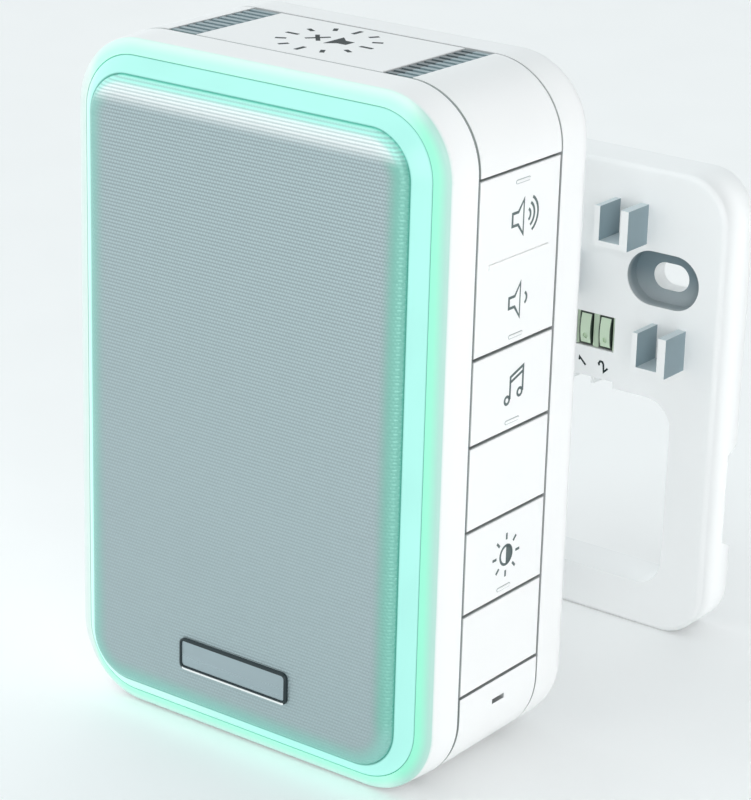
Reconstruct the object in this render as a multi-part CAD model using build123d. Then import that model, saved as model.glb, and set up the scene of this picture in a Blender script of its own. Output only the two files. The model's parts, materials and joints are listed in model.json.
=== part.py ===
from build123d import *
import os
from math import cos, radians, sin

os.makedirs("parts", exist_ok=True)

# A wall chime: a lit speaker box with a column of side buttons, and the wall plate that
# carries it, standing close behind. X is across the front, +Y points to the wall, +Z is up.
# The origin is the middle of the box's base, half way through the depth of its side band.

# The box
box_width = 74.0
box_height = 115.4
corner_radius = 13.0
band_depth = 22.0
seam = 0.45
case_wall = 1.8
least_radius = 0.6
overrun = 5.0
fit_gap = 0.1
edge_round = 0.3

# Front cover: outer bezel, light channel and speaker baffle in one moulding
bezel_depth = 7.0
bezel_draft = 0.4
bezel_round = 0.8
lip_inset = 2.8
lip_rise = 1.04
ring_inset = 5.7
ring_rise = 1.94
channel_depth = 2.6
channel_floor = 1.2
baffle_wall = 1.6
windows_across = 5
windows_up = 9
window_length = 5.0
window_width = 1.9

# Speaker grille
grille_wall = 0.7
grille_roll_width = 3.6
grille_roll_rise = 1.5
grille_roll_steps = 4
grille_crown = 0.45

# Nameplate, left bare
badge_width = 22.2
badge_height = 5.1
badge_corner = 0.9
badge_thickness = 1.5
badge_above_base = 14.95
badge_proud = 0.35
badge_rim = 0.5
badge_sink = 0.25
badge_pin_radius = 0.8

# Column of keys on the right side
column_top_drop = 13.47
column_base_height = 16.97
column_pitches = 6
cap_wall = 1.8
cap_gap = 0.8
frame_wall = 1.5
stub_radius = 1.4
stub_clearance = 0.4
stub_gap = 0.05
hook_offset = 8.2
hook_thickness = 1.2
hook_width = 3.0
hook_barb = 0.8
hook_barb_height = 0.9
hook_clearance = 0.3
hook_gap = 0.1

# Push switches and their boards
plunger_drop = 0.1
plunger_stand = 0.6
plunger_radius = 1.2
plunger_gap = 0.05
plunger_length = 1.4
switch_height = 2.5
switch_width = 4.6
small_board_thickness = 1.2
side_board_half = 6.8
side_board_margin = 3.0
board_post_radius = 1.8
board_post_offset = 4.4
top_board_length = 18.0
top_board_half = 6.0
top_post_offset = 6.4

# Volume rocker and its hinge pin
rocker_stub_margin = 4.16
rocker_stub_gap = 0.5
pin_radius = 0.75
pin_gap = 0.05
pin_grip = 0.02
pin_cover = 0.2
pin_half_length = 8.1
ear_offset = 4.2
ear_thickness = 2.0
ear_radius = 1.6
ear_window_half = 3.4
ear_window_margin = 0.8
lug_thickness = 2.2
lug_half_height = 2.2
ridge_width = 0.8
ridge_length = 16.0
ridge_rise = 0.3

# Top face
vent_margin = 0.06
vent_width = 5.31
vent_ribs = 11
vent_rib_width = 1.0
vent_base = 1.5
vent_drop = 0.1
top_hook_margin = 5.63

# Release slot in the base trim
slot_above_base = 13.1
slot_length = 3.4
slot_height = 0.9

# Middle frame
frame_tongue = 2.0
led_board_thickness = 1.0
led_board_outer_inset = 2.3
led_board_inner_inset = 6.2
led_length = 2.8
led_width = 1.4
led_height = 0.9
post_inset = 10.4
post_radius = 2.8
post_hole_radius = 1.4
gusset_width = 1.6
gusset_margin = 2.0

# Rear housing
rear_depth = 9.0
rear_round = 3.0
rear_boss_radius = 3.9
rear_seat = 2.0
screw_recess_radius = 2.7

# Case screws
case_screw_radius = 1.15
case_head_radius = 2.3
case_head_height = 1.8
case_screw_bite = 4.0
driver_slot_width = 0.6
driver_slot_depth = 0.6
thread_gap = 0.02
cover_post_radius = 2.4

# Speaker
speaker_side_gap = 9.0
speaker_flange = 1.2
speaker_rim = 3.2
gasket_thickness = 0.8
gasket_width = 2.6
speaker_basket_depth = 12.4
basket_wall = 1.0
basket_arms = 4
basket_window_width = 15.0
magnet_radius = 14.0
magnet_hole_radius = 8.0
magnet_thickness = 6.4
magnet_plate = 1.2
pole_radius = 6.1
coil_radius = 7.2
coil_wall = 0.5
coil_length = 8.0
cone_wall = 0.5
cone_depth = 7.2
cone_edge_gap = 0.3
cap_rise = 2.4
cap_flat_share = 0.4
surround_radius = 1.1
surround_wall = 0.4
surround_steps = 6
speaker_ear_radius = 3.0
speaker_screw_radius = 0.9
speaker_head_radius = 1.9
speaker_head_height = 1.1
speaker_post_radius = 2.2
sound_hole_share = 0.35
sound_hole_margin = 8.4
sound_hole_rings = 4

# Main board
main_board_side_gap = 9.5
main_board_margin_low = 16.0
main_board_margin_high = 15.4
main_board_thickness = 1.6
main_board_lead = 5.5
main_standoff_margin = 5.0
main_standoff_low = 21.0
main_standoff_high = 20.4
main_standoff_radius = 2.4
board_screw_radius = 0.9
board_screw_bite = 5.0
board_head_radius = 1.8
board_head_height = 1.2
capacitor_radius = 4.0
capacitor_height = 8.5
capacitor_x = 12.0
capacitor_rise = 7.0
chip_width = 10.0
chip_height = 1.4
chip_drop = 9.0
inductor_radius = 5.0
inductor_height = 4.0
inductor_rise = 14.0

# Power contacts in the back of the box
contact_spread = 4.2
contact_pad_width = 3.0
contact_pad_height = 5.0
contact_pad_thickness = 0.4
contact_tail_radius = 0.6
contact_tail_gap = 0.02

# Wall plate
plate_gap = 44.13
plate_height = 85.8
plate_thickness = 9.3
plate_face = 2.2
plate_skirt = 2.0
plate_corner = 8.5
plate_round = 1.0
opening_margin = 8.7
opening_low = 8.4
opening_high = 43.9
opening_corner = 5.0
side_notch_low = 17.5
side_notch_high = 34.2
side_notch_depth = 2.8
dock_gap = 0.3

# Screw slots in the wall plate
slot_margin = 11.9
slot_above_base_plate = 66.0
recess_length = 14.6
recess_width = 9.9
recess_depth = 3.0
screw_slot_length = 7.2
screw_slot_width = 4.9
slot_floor = 3.5
slot_boss_wall = 1.5
slot_relief_margin = 1.6

# Clips that hold the box
clip_depth = 6.7
clip_width = 6.9
clip_height = 7.2
clip_inner_wall = 1.1
clip_outer_wall = 1.6
clip_web = 1.0
upper_clip_margin = 19.0
upper_clip_z = 75.6
lower_clip_margin = 10.0
lower_clip_z = 54.3
clip_clearance = 0.5
pocket_depth_gap = 0.8
pocket_wall = 1.2
tongue_clearance = 0.4
tongue_drop = 0.4

# Contact block on the wall plate
block_half_width = 8.0
block_low = 60.2
block_high = 68.5
block_rise = 5.0
block_clearance = 0.7
block_depth_gap = 1.0
block_corner = 1.0
spring_width = 2.4
spring_height = 4.0
spring_thickness = 0.3
spring_rise = 0.6
spring_foot = 0.8

# Terminals
terminal_left = 7.7
terminal_right = 15.9
terminal_low = 50.6
terminal_high = 57.1
terminal_frame = 1.0
terminal_body_low = 46.4
terminal_body_depth = 6.4
terminal_sink = 0.5
terminal_gap = 0.1
lever_width = 2.5
lever_side_gap = 0.22
lever_margin = 0.3
lever_thickness = 1.5
lever_pivot_depth = 1.8
lever_low_gap = 0.45
lever_crown = 0.5
lever_hub_radius = 1.1
lever_pivot_radius = 0.6
lever_pivot_reach = 0.4
lever_well_depth = 4.6
lever_dimple_radius = 0.5
lever_dimple_depth = 0.25
lever_dimple_rise = 1.6
wire_hole_radius = 1.2
wire_notch_width = 4.0
wire_notch_face = 1.2
wire_notch_space = 0.5
clamp_thickness = 0.3
clamp_width = 1.8
clamp_foot = 1.5

# Heights and depths that follow from these
y_front_seam = -band_depth / 2
y_rear_seam = band_depth / 2
y_edge = y_front_seam - bezel_depth
y_lip = y_edge - lip_rise
y_ring_top = y_lip - ring_rise
y_channel = y_lip + channel_depth
y_led_board = y_channel + channel_floor
y_frame_front = y_led_board + led_board_thickness
y_frame_rear = y_rear_seam + frame_tongue
y_baffle_back = y_lip + baffle_wall
y_rear_face = y_rear_seam + rear_depth
y_rear_inner = y_rear_face - case_wall
y_plate = y_rear_face + plate_gap
y_plate_back = y_plate + plate_thickness
band_half = band_depth / 2 - seam / 2

trim_inset = cap_wall + cap_gap
frame_inner_inset = trim_inset + frame_wall
plunger_inset = frame_inner_inset + plunger_drop
switch_inset = plunger_inset + plunger_stand
board_inset = switch_inset + switch_height
pin_inset = frame_inner_inset + pin_cover + pin_radius

z_column_top = box_height - column_top_drop
key_pitch = (z_column_top - column_base_height) / column_pitches
rocker_stub_offset = key_pitch - rocker_stub_margin
z_rocker = z_column_top - key_pitch
z_melody = z_rocker - key_pitch * 3 / 2
z_blank_upper = z_melody - key_pitch
z_light = z_blank_upper - key_pitch
z_blank_lower = z_light - key_pitch
z_column_base = z_blank_lower - key_pitch / 2
speaker_z = box_height / 2

grille_inset = ring_inset
grille_skirt_inset = grille_inset + grille_wall
plateau_inset = grille_skirt_inset + fit_gap
post_x = box_width / 2 - post_inset
vent_outer = box_width / 2 - corner_radius - vent_margin
button_half_width = vent_outer - vent_width
top_hook_spread = button_half_width - top_hook_margin
speaker_radius = box_width / 2 - speaker_side_gap
sound_hole_pitch = (speaker_radius - sound_hole_margin) / sound_hole_rings
sound_hole_radius = sound_hole_pitch * sound_hole_share
main_board_half = box_width / 2 - main_board_side_gap
main_standoff_x = main_board_half - main_standoff_margin

plate_width = box_width
opening_width = plate_width - 2 * opening_margin
slot_spread = plate_width - 2 * slot_margin
upper_clip_x = plate_width / 2 - upper_clip_margin
lower_clip_x = plate_width / 2 - lower_clip_margin


# Helpers
def front_plane(y, x=0, z=0):
    """A plane that faces the front, -Y, with X to the right and Z up."""
    return Plane(origin=(x, y, z), x_dir=(1, 0, 0), z_dir=(0, -1, 0))


def side_plane(z):
    """The right side's outer face at height z: local x is +Y, y is +Z, z points out."""
    return Plane(origin=(box_width / 2, 0, z), x_dir=(0, 1, 0), z_dir=(1, 0, 0))


def top_plane():
    """The top's outer face: local x is +Y, y is -X, z points up."""
    return Plane(origin=(0, 0, box_height), x_dir=(0, 1, 0), z_dir=(0, 0, 1))


def block(x0, x1, y0, y1, z0, z1):
    """A box between two corners."""
    centre = Pos((x0 + x1) / 2, (y0 + y1) / 2, (z0 + z1) / 2)
    return centre * Box(x1 - x0, y1 - y0, z1 - z0)


def rod_y(radius, y0, y1, x, z):
    """A round bar along Y."""
    return Pos(x, (y0 + y1) / 2, z) * Rot(90, 0, 0) * Cylinder(radius, y1 - y0)


def rod_x(radius, x0, x1, y, z):
    """A round bar along X."""
    return Pos((x0 + x1) / 2, y, z) * Rot(0, 90, 0) * Cylinder(radius, x1 - x0)


def rod_z(radius, z0, z1, x, y):
    """A round bar along Z."""
    return Pos(x, y, (z0 + z1) / 2) * Cylinder(radius, z1 - z0)


def outline(inset, y):
    """The box's rounded outline, drawn in by an inset, at one depth."""
    width = box_width - 2 * inset
    height = box_height - 2 * inset
    radius = max(corner_radius - inset, least_radius)
    return front_plane(y) * (Pos(0, box_height / 2) * RectangleRounded(width, height, radius))


def slab(inset, y_front, y_back):
    """A straight slice of the box between two depths."""
    return extrude(outline(inset, y_back), amount=y_back - y_front)


def taper(inset_back, y_back, inset_front, y_front):
    """A slice of the box whose outline changes from back to front."""
    return loft([outline(inset_back, y_back), outline(inset_front, y_front)], ruled=True)


def around_ring(inset, across, up):
    """Places along a rounded outline: x, z and turn about Y, side by side and at the corners."""
    straight_x = box_width - 2 * corner_radius
    straight_z = box_height - 2 * corner_radius
    places = []
    for i in range(across):
        x = -straight_x / 2 + straight_x * (i + 1 / 2) / across
        places.append((x, inset, 0))
        places.append((x, box_height - inset, 0))
    for i in range(up):
        z = corner_radius + straight_z * (i + 1 / 2) / up
        places.append((box_width / 2 - inset, z, 90))
        places.append((inset - box_width / 2, z, 90))
    reach = (corner_radius - inset) * cos(radians(45))
    for sx in (-1, 1):
        for sz in (-1, 1):
            x = sx * (straight_x / 2 + reach)
            z = box_height / 2 + sz * (straight_z / 2 + reach)
            places.append((x, z, 45 * sx * sz))
    return places


def corner_posts():
    """The four places of the case screws."""
    return [(sx * post_x, z) for sx in (-1, 1) for z in (post_inset, box_height - post_inset)]


# Front cover
def make_front_bezel():
    y_back = y_front_seam - seam / 2
    body = taper(0, y_back, bezel_draft, y_edge)
    body += taper(bezel_draft, y_edge, lip_inset, y_lip)
    rim = body.edges().filter_by(lambda e: abs(e.center().Y - y_edge) < fit_gap)
    body = fillet(rim, bezel_round)
    body -= slab(case_wall + bezel_draft, y_led_board, y_back + overrun)
    channel = slab(lip_inset, y_lip - overrun, y_channel)
    channel -= slab(plateau_inset, y_lip - overrun, y_channel)
    body -= channel
    body -= slab(plateau_inset + baffle_wall, y_baffle_back, y_led_board)
    window_inset = (lip_inset + ring_inset) / 2
    for x, z, turn in around_ring(window_inset, windows_across, windows_up):
        hole = Box(window_length, channel_floor * 2, window_width)
        body -= Pos(x, y_led_board - channel_floor / 2, z) * Rot(0, turn, 0) * hole
    body -= sound_holes()
    for x, z in corner_posts():
        body += rod_y(cover_post_radius, y_baffle_back, y_front_seam, x, z)
        bite = y_front_seam - case_screw_bite - thread_gap
        body -= rod_y(case_screw_radius + thread_gap, bite, y_front_seam + overrun, x, z)
    for x, z in speaker_ears():
        body += rod_y(speaker_post_radius, y_baffle_back, y_baffle_back + gasket_thickness, x, z)
        bite = y_baffle_back - baffle_wall / 2
        body -= rod_y(speaker_screw_radius + thread_gap, bite, y_baffle_back + overrun, x, z)
    return body


def sound_holes():
    """Six-sided holes on rings in front of the cone."""
    holes = [Pos(0, speaker_z) * RegularPolygon(sound_hole_radius, 6)]
    for ring in range(1, sound_hole_rings + 1):
        count = 6 * ring
        for i in range(count):
            angle = radians(360 * i / count)
            x = ring * sound_hole_pitch * cos(angle)
            z = speaker_z + ring * sound_hole_pitch * sin(angle)
            holes.append(Pos(x, z) * RegularPolygon(sound_hole_radius, 6))
    face = front_plane(y_baffle_back + fit_gap) * Sketch(children=holes)
    return extrude(face, amount=baffle_wall + 2 * fit_gap)


def make_halo_ring():
    outer = lip_inset + fit_gap
    inner = ring_inset - fit_gap
    body = slab(outer, y_lip, y_channel)
    body += taper(outer, y_lip, inner, y_ring_top)
    body -= slab(inner, y_ring_top - overrun, y_channel + overrun)
    return body


def grille_shape(shrink):
    """The crowned cover with its rolled edge; shrink draws every face inwards."""
    inset = grille_inset + shrink
    top = y_ring_top - grille_roll_rise + shrink
    body = slab(inset, y_ring_top, y_channel)
    last_inset = inset
    last_y = y_ring_top
    for i in range(1, grille_roll_steps + 1):
        angle = radians(90 * i / grille_roll_steps)
        step_inset = inset + (grille_roll_width - shrink) * (1 - cos(angle))
        step_y = y_ring_top + (top - y_ring_top) * sin(angle)
        body += taper(last_inset, last_y, step_inset, step_y)
        last_inset = step_inset
        last_y = step_y
    reach = box_height / 2
    ball_radius = (reach * reach + grille_crown * grille_crown) / (2 * grille_crown)
    ball = Pos(0, top + ball_radius, speaker_z) * Sphere(ball_radius)
    return body & ball


def badge_outline(grow, y):
    width = badge_width + 2 * grow
    height = badge_height + 2 * grow
    return front_plane(y) * (Pos(0, badge_above_base) * RectangleRounded(width, height, badge_corner + grow))


y_badge = y_ring_top - grille_roll_rise - badge_proud


def make_grille():
    hollow = grille_shape(grille_wall)
    hollow += slab(grille_skirt_inset, y_channel - fit_gap, y_channel + overrun)
    body = grille_shape(0) - hollow
    body -= extrude(badge_outline(fit_gap, y_channel), amount=y_channel - y_badge + overrun)
    return body


def make_badge():
    y_back = y_badge + badge_thickness
    body = extrude(badge_outline(0, y_back), amount=badge_thickness)
    body -= extrude(badge_outline(-badge_rim, y_badge + badge_sink), amount=badge_sink + overrun)
    for sx in (-1, 1):
        body += rod_y(badge_pin_radius, y_back, y_lip, sx * badge_width / 3, badge_above_base)
    return body


# Light board
def make_led_board():
    body = slab(led_board_outer_inset, y_led_board, y_frame_front)
    return body - slab(led_board_inner_inset, y_led_board - overrun, y_frame_front + overrun)


def make_leds():
    window_inset = (lip_inset + ring_inset) / 2
    leds = []
    for x, z, turn in around_ring(window_inset, windows_across, windows_up):
        led = Box(led_length, led_height, led_width)
        leds.append(Pos(x, y_led_board - led_height / 2, z) * Rot(0, turn, 0) * led)
    return leds


# Keys, built flat: local x across the band, y along it, z out of the face
def cap(length):
    body = Pos(0, 0, -cap_wall / 2) * Box(2 * band_half, length, cap_wall)
    face = body.faces().sort_by(Axis.Z)[-1]
    return fillet(face.edges(), edge_round)


def inward(radius, inset_out, inset_in, x=0, y=0):
    """A round bar that runs inwards between two insets."""
    return Pos(x, y, -(inset_out + inset_in) / 2) * Cylinder(radius, inset_in - inset_out)


def bar(x0, x1, y0, y1, inset_out, inset_in):
    """A box between two insets."""
    centre = Pos((x0 + x1) / 2, (y0 + y1) / 2, -(inset_out + inset_in) / 2)
    return centre * Box(x1 - x0, y1 - y0, inset_in - inset_out)


def press_cap(length, hook_shift):
    """A cap with its push stub and two snap hooks."""
    body = cap(length)
    body += inward(stub_radius, cap_wall, plunger_inset - stub_gap)
    half = hook_width / 2
    barb_top = frame_inner_inset + hook_gap
    barb_end = barb_top + hook_barb_height
    for side in (-1, 1):
        for shift in hook_shift:
            inner = side * (hook_offset - hook_thickness / 2)
            outer = side * (hook_offset + hook_thickness / 2)
            tip = outer + side * hook_barb
            low, high = sorted((inner, outer))
            body += bar(low, high, shift - half, shift + half, cap_wall, barb_end)
            low, high = sorted((inner, tip))
            body += bar(low, high, shift - half, shift + half, barb_top, barb_end)
    return body


def press_holes(hook_shift):
    """The holes that a press cap needs through the frame."""
    start = trim_inset - overrun
    end = frame_inner_inset + fit_gap
    body = inward(stub_radius + stub_clearance, start, end)
    half = hook_width / 2 + hook_clearance
    reach = hook_thickness / 2 + hook_clearance
    for side in (-1, 1):
        for shift in hook_shift:
            middle = side * hook_offset
            body += bar(middle - reach, middle + reach, shift - half, shift + half, start, end)
    return body


def switch_body():
    half = switch_width / 2
    body = bar(-half, half, -half, half, switch_inset, board_inset)
    return body - inward(plunger_radius + plunger_gap, switch_inset - overrun, board_inset + overrun)


def switch_plunger():
    return inward(plunger_radius, plunger_inset, plunger_inset + plunger_length)


def make_rocker():
    body = cap(2 * key_pitch - seam)
    reach = ridge_length / 2
    wide = ridge_width / 2
    body += bar(-reach, reach, -wide, wide, -ridge_rise, edge_round)
    for side in (-1, 1):
        body += inward(stub_radius, cap_wall, plunger_inset - rocker_stub_gap, 0, side * rocker_stub_offset)
        middle = side * ear_offset
        half = ear_thickness / 2
        body += bar(middle - half, middle + half, -ear_radius, ear_radius, cap_wall, pin_inset)
        body += Pos(middle, 0, -pin_inset) * Rot(0, 90, 0) * Cylinder(ear_radius, ear_thickness)
    body -= Pos(0, 0, -pin_inset) * Rot(0, 90, 0) * Cylinder(pin_radius + pin_gap, band_depth)
    return body


def rocker_holes():
    start = trim_inset - overrun
    end = frame_inner_inset + fit_gap
    wide = ear_offset + ear_thickness / 2 + ear_window_margin
    body = bar(-wide, wide, -ear_window_half, ear_window_half, start, end)
    for side in (-1, 1):
        body += inward(stub_radius + stub_clearance, start, end, 0, side * rocker_stub_offset)
    return body


def rocker_lugs():
    """The two lugs inside the frame that hold the hinge pin and rest on the switch board."""
    inner = ear_offset + ear_thickness / 2 + ear_window_margin
    lugs = []
    for side in (-1, 1):
        low, high = sorted((side * inner, side * (inner + lug_thickness)))
        lug = bar(low, high, -lug_half_height, lug_half_height, frame_inner_inset - fit_gap, board_inset)
        hole = Pos(0, 0, -pin_inset) * Rot(0, 90, 0) * Cylinder(pin_radius + pin_grip, band_depth)
        lugs.append(lug - hole)
    return lugs


def make_rocker_pin():
    return Pos(0, 0, -pin_inset) * Rot(0, 90, 0) * Cylinder(pin_radius, 2 * pin_half_length)


# Band trims, cut out of one ring that follows the box
def band_ring():
    return slab(0, -band_half, band_half) - slab(trim_inset, -band_depth, band_depth)


def make_trims():
    ring = band_ring()
    half = box_width / 2 + overrun
    gap = seam / 2
    corner = block(vent_outer, half, -band_depth, band_depth, z_column_top + gap, box_height + overrun)
    corner_right = ring & corner
    inner = trim_inset - box_width / 2 + fit_gap
    side = block(-half, inner, -band_depth, band_depth, z_column_base + gap, z_column_top - gap)
    left_panel = ring & side
    base = ring & block(-half, half, -band_depth, band_depth, -overrun, z_column_base - gap)
    base -= block(box_width / 2 - trim_inset - overrun, half, -slot_length / 2, slot_length / 2,
                  slot_above_base - slot_height / 2, slot_above_base + slot_height / 2)
    return corner_right, mirror(corner_right, Plane.YZ), left_panel, base


def make_blank(z):
    body = Pos(0, 0, -trim_inset / 2) * Box(2 * band_half, key_pitch - seam, trim_inset)
    face = body.faces().sort_by(Axis.Z)[-1]
    return side_plane(z) * fillet(face.edges(), edge_round)


def make_vent(side):
    """A dark ribbed strip; its ribs run across the top."""
    inner = button_half_width
    low, high = sorted((side * inner, side * (vent_outer - fit_gap)))
    base_top = box_height - trim_inset + vent_base
    body = block(low, high, -band_half, band_half, box_height - trim_inset, base_top)
    pitch = 2 * band_half / vent_ribs
    for i in range(vent_ribs):
        middle = -band_half + pitch * (i + 1 / 2)
        half = vent_rib_width / 2
        body += block(low, high, middle - half, middle + half, base_top - fit_gap, box_height - vent_drop)
    return body


# Middle frame
def make_frame():
    body = slab(trim_inset, y_frame_front, y_frame_rear)
    body -= slab(frame_inner_inset, y_frame_front - overrun, y_frame_rear + overrun)
    for x, z in corner_posts():
        body += rod_y(post_radius, y_front_seam, y_rear_seam, x, z)
        side = 1 if x > 0 else -1
        up = 1 if z > box_height / 2 else -1
        wall_x = side * (box_width / 2 - frame_inner_inset + fit_gap)
        wall_z = box_height / 2 + up * (box_height / 2 - frame_inner_inset + fit_gap)
        low, high = sorted((x, wall_x))
        y0 = y_front_seam + gusset_margin
        y1 = y_rear_seam - gusset_margin
        body += block(low, high, y0, y1, z - gusset_width / 2, z + gusset_width / 2)
        low, high = sorted((z, wall_z))
        body += block(x - gusset_width / 2, x + gusset_width / 2, y0, y1, low, high)
    for x, z in corner_posts():
        body -= rod_y(post_hole_radius, y_front_seam - overrun, y_rear_seam + overrun, x, z)
    body -= side_plane(z_rocker) * rocker_holes()
    for z in (z_melody, z_light):
        body -= side_plane(z) * press_holes((0,))
    body -= top_plane() * press_holes((-top_hook_spread, top_hook_spread))
    for lug in rocker_lugs():
        body += side_plane(z_rocker) * lug
    for z in (z_blank_upper, z_blank_lower):
        for side in (-1, 1):
            shift = side * board_post_offset
            post = inward(board_post_radius, frame_inner_inset - fit_gap, board_inset, shift)
            body += side_plane(z) * post
    for side in (-1, 1):
        post = inward(board_post_radius, frame_inner_inset - fit_gap, board_inset, 0, side * top_post_offset)
        body += top_plane() * post
    return body


def make_side_board():
    x1 = box_width / 2 - board_inset
    z0 = z_blank_lower - board_post_radius - side_board_margin
    z1 = z_column_top - side_board_margin
    return block(x1 - small_board_thickness, x1, -side_board_half, side_board_half, z0, z1)


def make_top_board():
    z1 = box_height - board_inset
    half = top_board_length / 2
    return block(-half, half, -top_board_half, top_board_half, z1 - small_board_thickness, z1)


# Rear housing
def clips():
    """The four clips: centre x and z, and which way their thick wall faces."""
    return [(side * x, z, side) for side in (-1, 1)
            for x, z in ((upper_clip_x, upper_clip_z), (lower_clip_x, lower_clip_z))]


def clip_box(x, z, grow, y0, y1):
    half_width = clip_width / 2 + grow
    half_height = clip_height / 2 + grow
    return block(x - half_width, x + half_width, y0, y1, z - half_height, z + half_height)


def make_rear_housing():
    y_start = y_rear_seam + seam / 2
    body = slab(0, y_start, y_rear_face)
    back = body.faces().sort_by(Axis.Y)[-1]
    body = fillet(back.edges(), rear_round)
    body -= slab(case_wall, y_start - overrun, y_rear_inner)
    y_pocket = y_rear_face - clip_depth - dock_gap - pocket_depth_gap
    for x, z, side in clips():
        body += clip_box(x, z, clip_clearance + pocket_wall, y_pocket - pocket_wall, y_rear_inner + fit_gap)
    y_socket = y_rear_face - block_rise - block_depth_gap
    wide = block_half_width + block_clearance
    low = block_low - block_clearance
    high = block_high + block_clearance
    body += block(-wide - pocket_wall, wide + pocket_wall, y_socket - pocket_wall, y_rear_inner + fit_gap,
                  low - pocket_wall, high + pocket_wall)
    for x, z, side in clips():
        body -= clip_box(x, z, clip_clearance, y_pocket, y_rear_face + overrun)
    body -= block(-wide, wide, y_socket, y_rear_face + overrun, low, high)
    for x, z, side in clips():
        slot_middle = x + side * (clip_inner_wall - clip_outer_wall) / 2
        slot_half = (clip_width - clip_inner_wall - clip_outer_wall) / 2 - tongue_clearance
        z0 = z - clip_height / 2 + clip_web + tongue_clearance
        body += block(slot_middle - slot_half, slot_middle + slot_half, y_pocket - fit_gap,
                      y_rear_face - tongue_drop, z0, z + clip_height / 2)
    for x, z in corner_posts():
        body += rod_y(rear_boss_radius, y_rear_seam, y_rear_inner + fit_gap, x, z)
    for x, z in corner_posts():
        body -= rod_y(screw_recess_radius, y_rear_seam + rear_seat, y_rear_face + overrun, x, z)
        body -= rod_y(post_hole_radius, y_rear_seam - overrun, y_rear_face, x, z)
    for x, z in standoffs():
        body += rod_y(main_standoff_radius, y_main_back, y_rear_inner + fit_gap, x, z)
        bite = y_main_back + board_screw_bite
        body -= rod_y(board_screw_radius + thread_gap, y_main_back - overrun, bite, x, z)
    tail = contact_tail_radius + contact_tail_gap
    middle = (block_low + block_high) / 2
    for side in (-1, 1):
        body -= rod_y(tail, y_socket - overrun, y_socket + fit_gap, side * contact_spread, middle)
    return body


def make_power_contacts():
    """Two flat pads on the socket's floor, with tails that reach the main board."""
    y_socket = y_rear_face - block_rise - block_depth_gap
    y_pad = y_socket + contact_pad_thickness
    middle = (block_low + block_high) / 2
    half = contact_pad_width / 2
    tall = contact_pad_height / 2
    contacts = []
    for side in (-1, 1):
        x = side * contact_spread
        pad = block(x - half, x + half, y_socket, y_pad, middle - tall, middle + tall)
        tail = rod_y(contact_tail_radius, y_main_back, y_pad - contact_pad_thickness / 2, x, middle)
        contacts.append(pad + tail)
    return contacts


# Screws
def screw(head_radius, head_height, shank_radius, y_seat, y_tip, x, z):
    """A pan-head screw along Y; the head is behind the seat, on the side away from the tip."""
    away = 1 if y_seat > y_tip else -1
    y_head = y_seat + away * head_height
    low, high = sorted((y_seat, y_head))
    body = rod_y(head_radius, low, high, x, z)
    low, high = sorted((y_seat, y_tip))
    body += rod_y(shank_radius, low, high, x, z)
    low, high = sorted((y_head - away * driver_slot_depth, y_head + away * overrun))
    half = driver_slot_width / 2
    body -= block(x - head_radius, x + head_radius, low, high, z - half, z + half)
    return body


def make_case_screws():
    y_seat = y_rear_seam + rear_seat
    y_tip = y_front_seam - case_screw_bite
    return [screw(case_head_radius, case_head_height, case_screw_radius, y_seat, y_tip, x, z)
            for x, z in corner_posts()]


# Speaker
y_gasket = y_baffle_back + gasket_thickness
y_flange = y_gasket + speaker_flange
y_magnet = y_flange + speaker_basket_depth
rim_inner_radius = speaker_radius - speaker_rim
cone_radius = rim_inner_radius - surround_radius * 2 - cone_edge_gap
y_cone_edge = y_gasket + speaker_flange / 2
y_cone_neck = y_cone_edge + cone_depth


def speaker_ears():
    reach = (speaker_radius + speaker_post_radius + fit_gap) * cos(radians(45))
    return [(sx * reach, speaker_z + sz * reach) for sx in (-1, 1) for sz in (-1, 1)]


def turned(points):
    """Turns a closed outline of radius and depth pairs about the speaker's axis."""
    plane = Plane(origin=(0, 0, speaker_z), x_dir=(1, 0, 0), z_dir=(0, 0, 1))
    face = plane * make_face(Polyline(*points, close=True))
    axis = Axis((0, 0, speaker_z), (0, 1, 0))
    return revolve(face, axis)


def make_gasket():
    body = rod_y(speaker_radius, y_baffle_back, y_gasket, 0, speaker_z)
    inner = speaker_radius - gasket_width
    return body - rod_y(inner, y_baffle_back - overrun, y_gasket + overrun, 0, speaker_z)


def make_basket():
    rim = rod_y(speaker_radius, y_gasket, y_flange, 0, speaker_z)
    for x, z in speaker_ears():
        rim += rod_y(speaker_ear_radius, y_gasket, y_flange, x, z)
    rim -= rod_y(rim_inner_radius, y_gasket - overrun, y_flange + overrun, 0, speaker_z)
    skirt_radius = rim_inner_radius + basket_wall
    back = y_magnet - basket_wall
    shell = turned([(rim_inner_radius, y_flange), (skirt_radius, y_flange), (magnet_radius, back),
                    (magnet_radius, y_magnet), (magnet_hole_radius, y_magnet), (magnet_hole_radius, back),
                    (magnet_radius - basket_wall, back)])
    for i in range(basket_arms):
        window = Box(skirt_radius, speaker_basket_depth - 3 * basket_wall, basket_window_width)
        middle = (y_flange + y_magnet - basket_wall) / 2
        turn = Rot(0, 360 * i / basket_arms, 0)
        shift = Pos(magnet_radius + skirt_radius / 2, 0, 0)
        shell -= Pos(0, middle, speaker_z) * turn * shift * window
    body = rim + shell
    for x, z in speaker_ears():
        body -= rod_y(speaker_screw_radius + thread_gap, y_gasket - overrun, y_flange + overrun, x, z)
    return body


def make_surround():
    """The half-round roll between cone and rim, with its flat lip glued to the rim."""
    outer = roll_points(surround_radius)
    inner = roll_points(surround_radius - surround_wall)
    return turned(outer + inner[::-1])


def roll_points(radius):
    """Points on the half-round of the surround, from the cone's side to the rim's."""
    middle = rim_inner_radius - surround_radius
    y_middle = y_gasket + surround_radius
    angles = [radians(180 * i / surround_steps) for i in range(surround_steps + 1)]
    return [(middle - radius * cos(angle), y_middle - radius * sin(angle)) for angle in angles]


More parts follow.
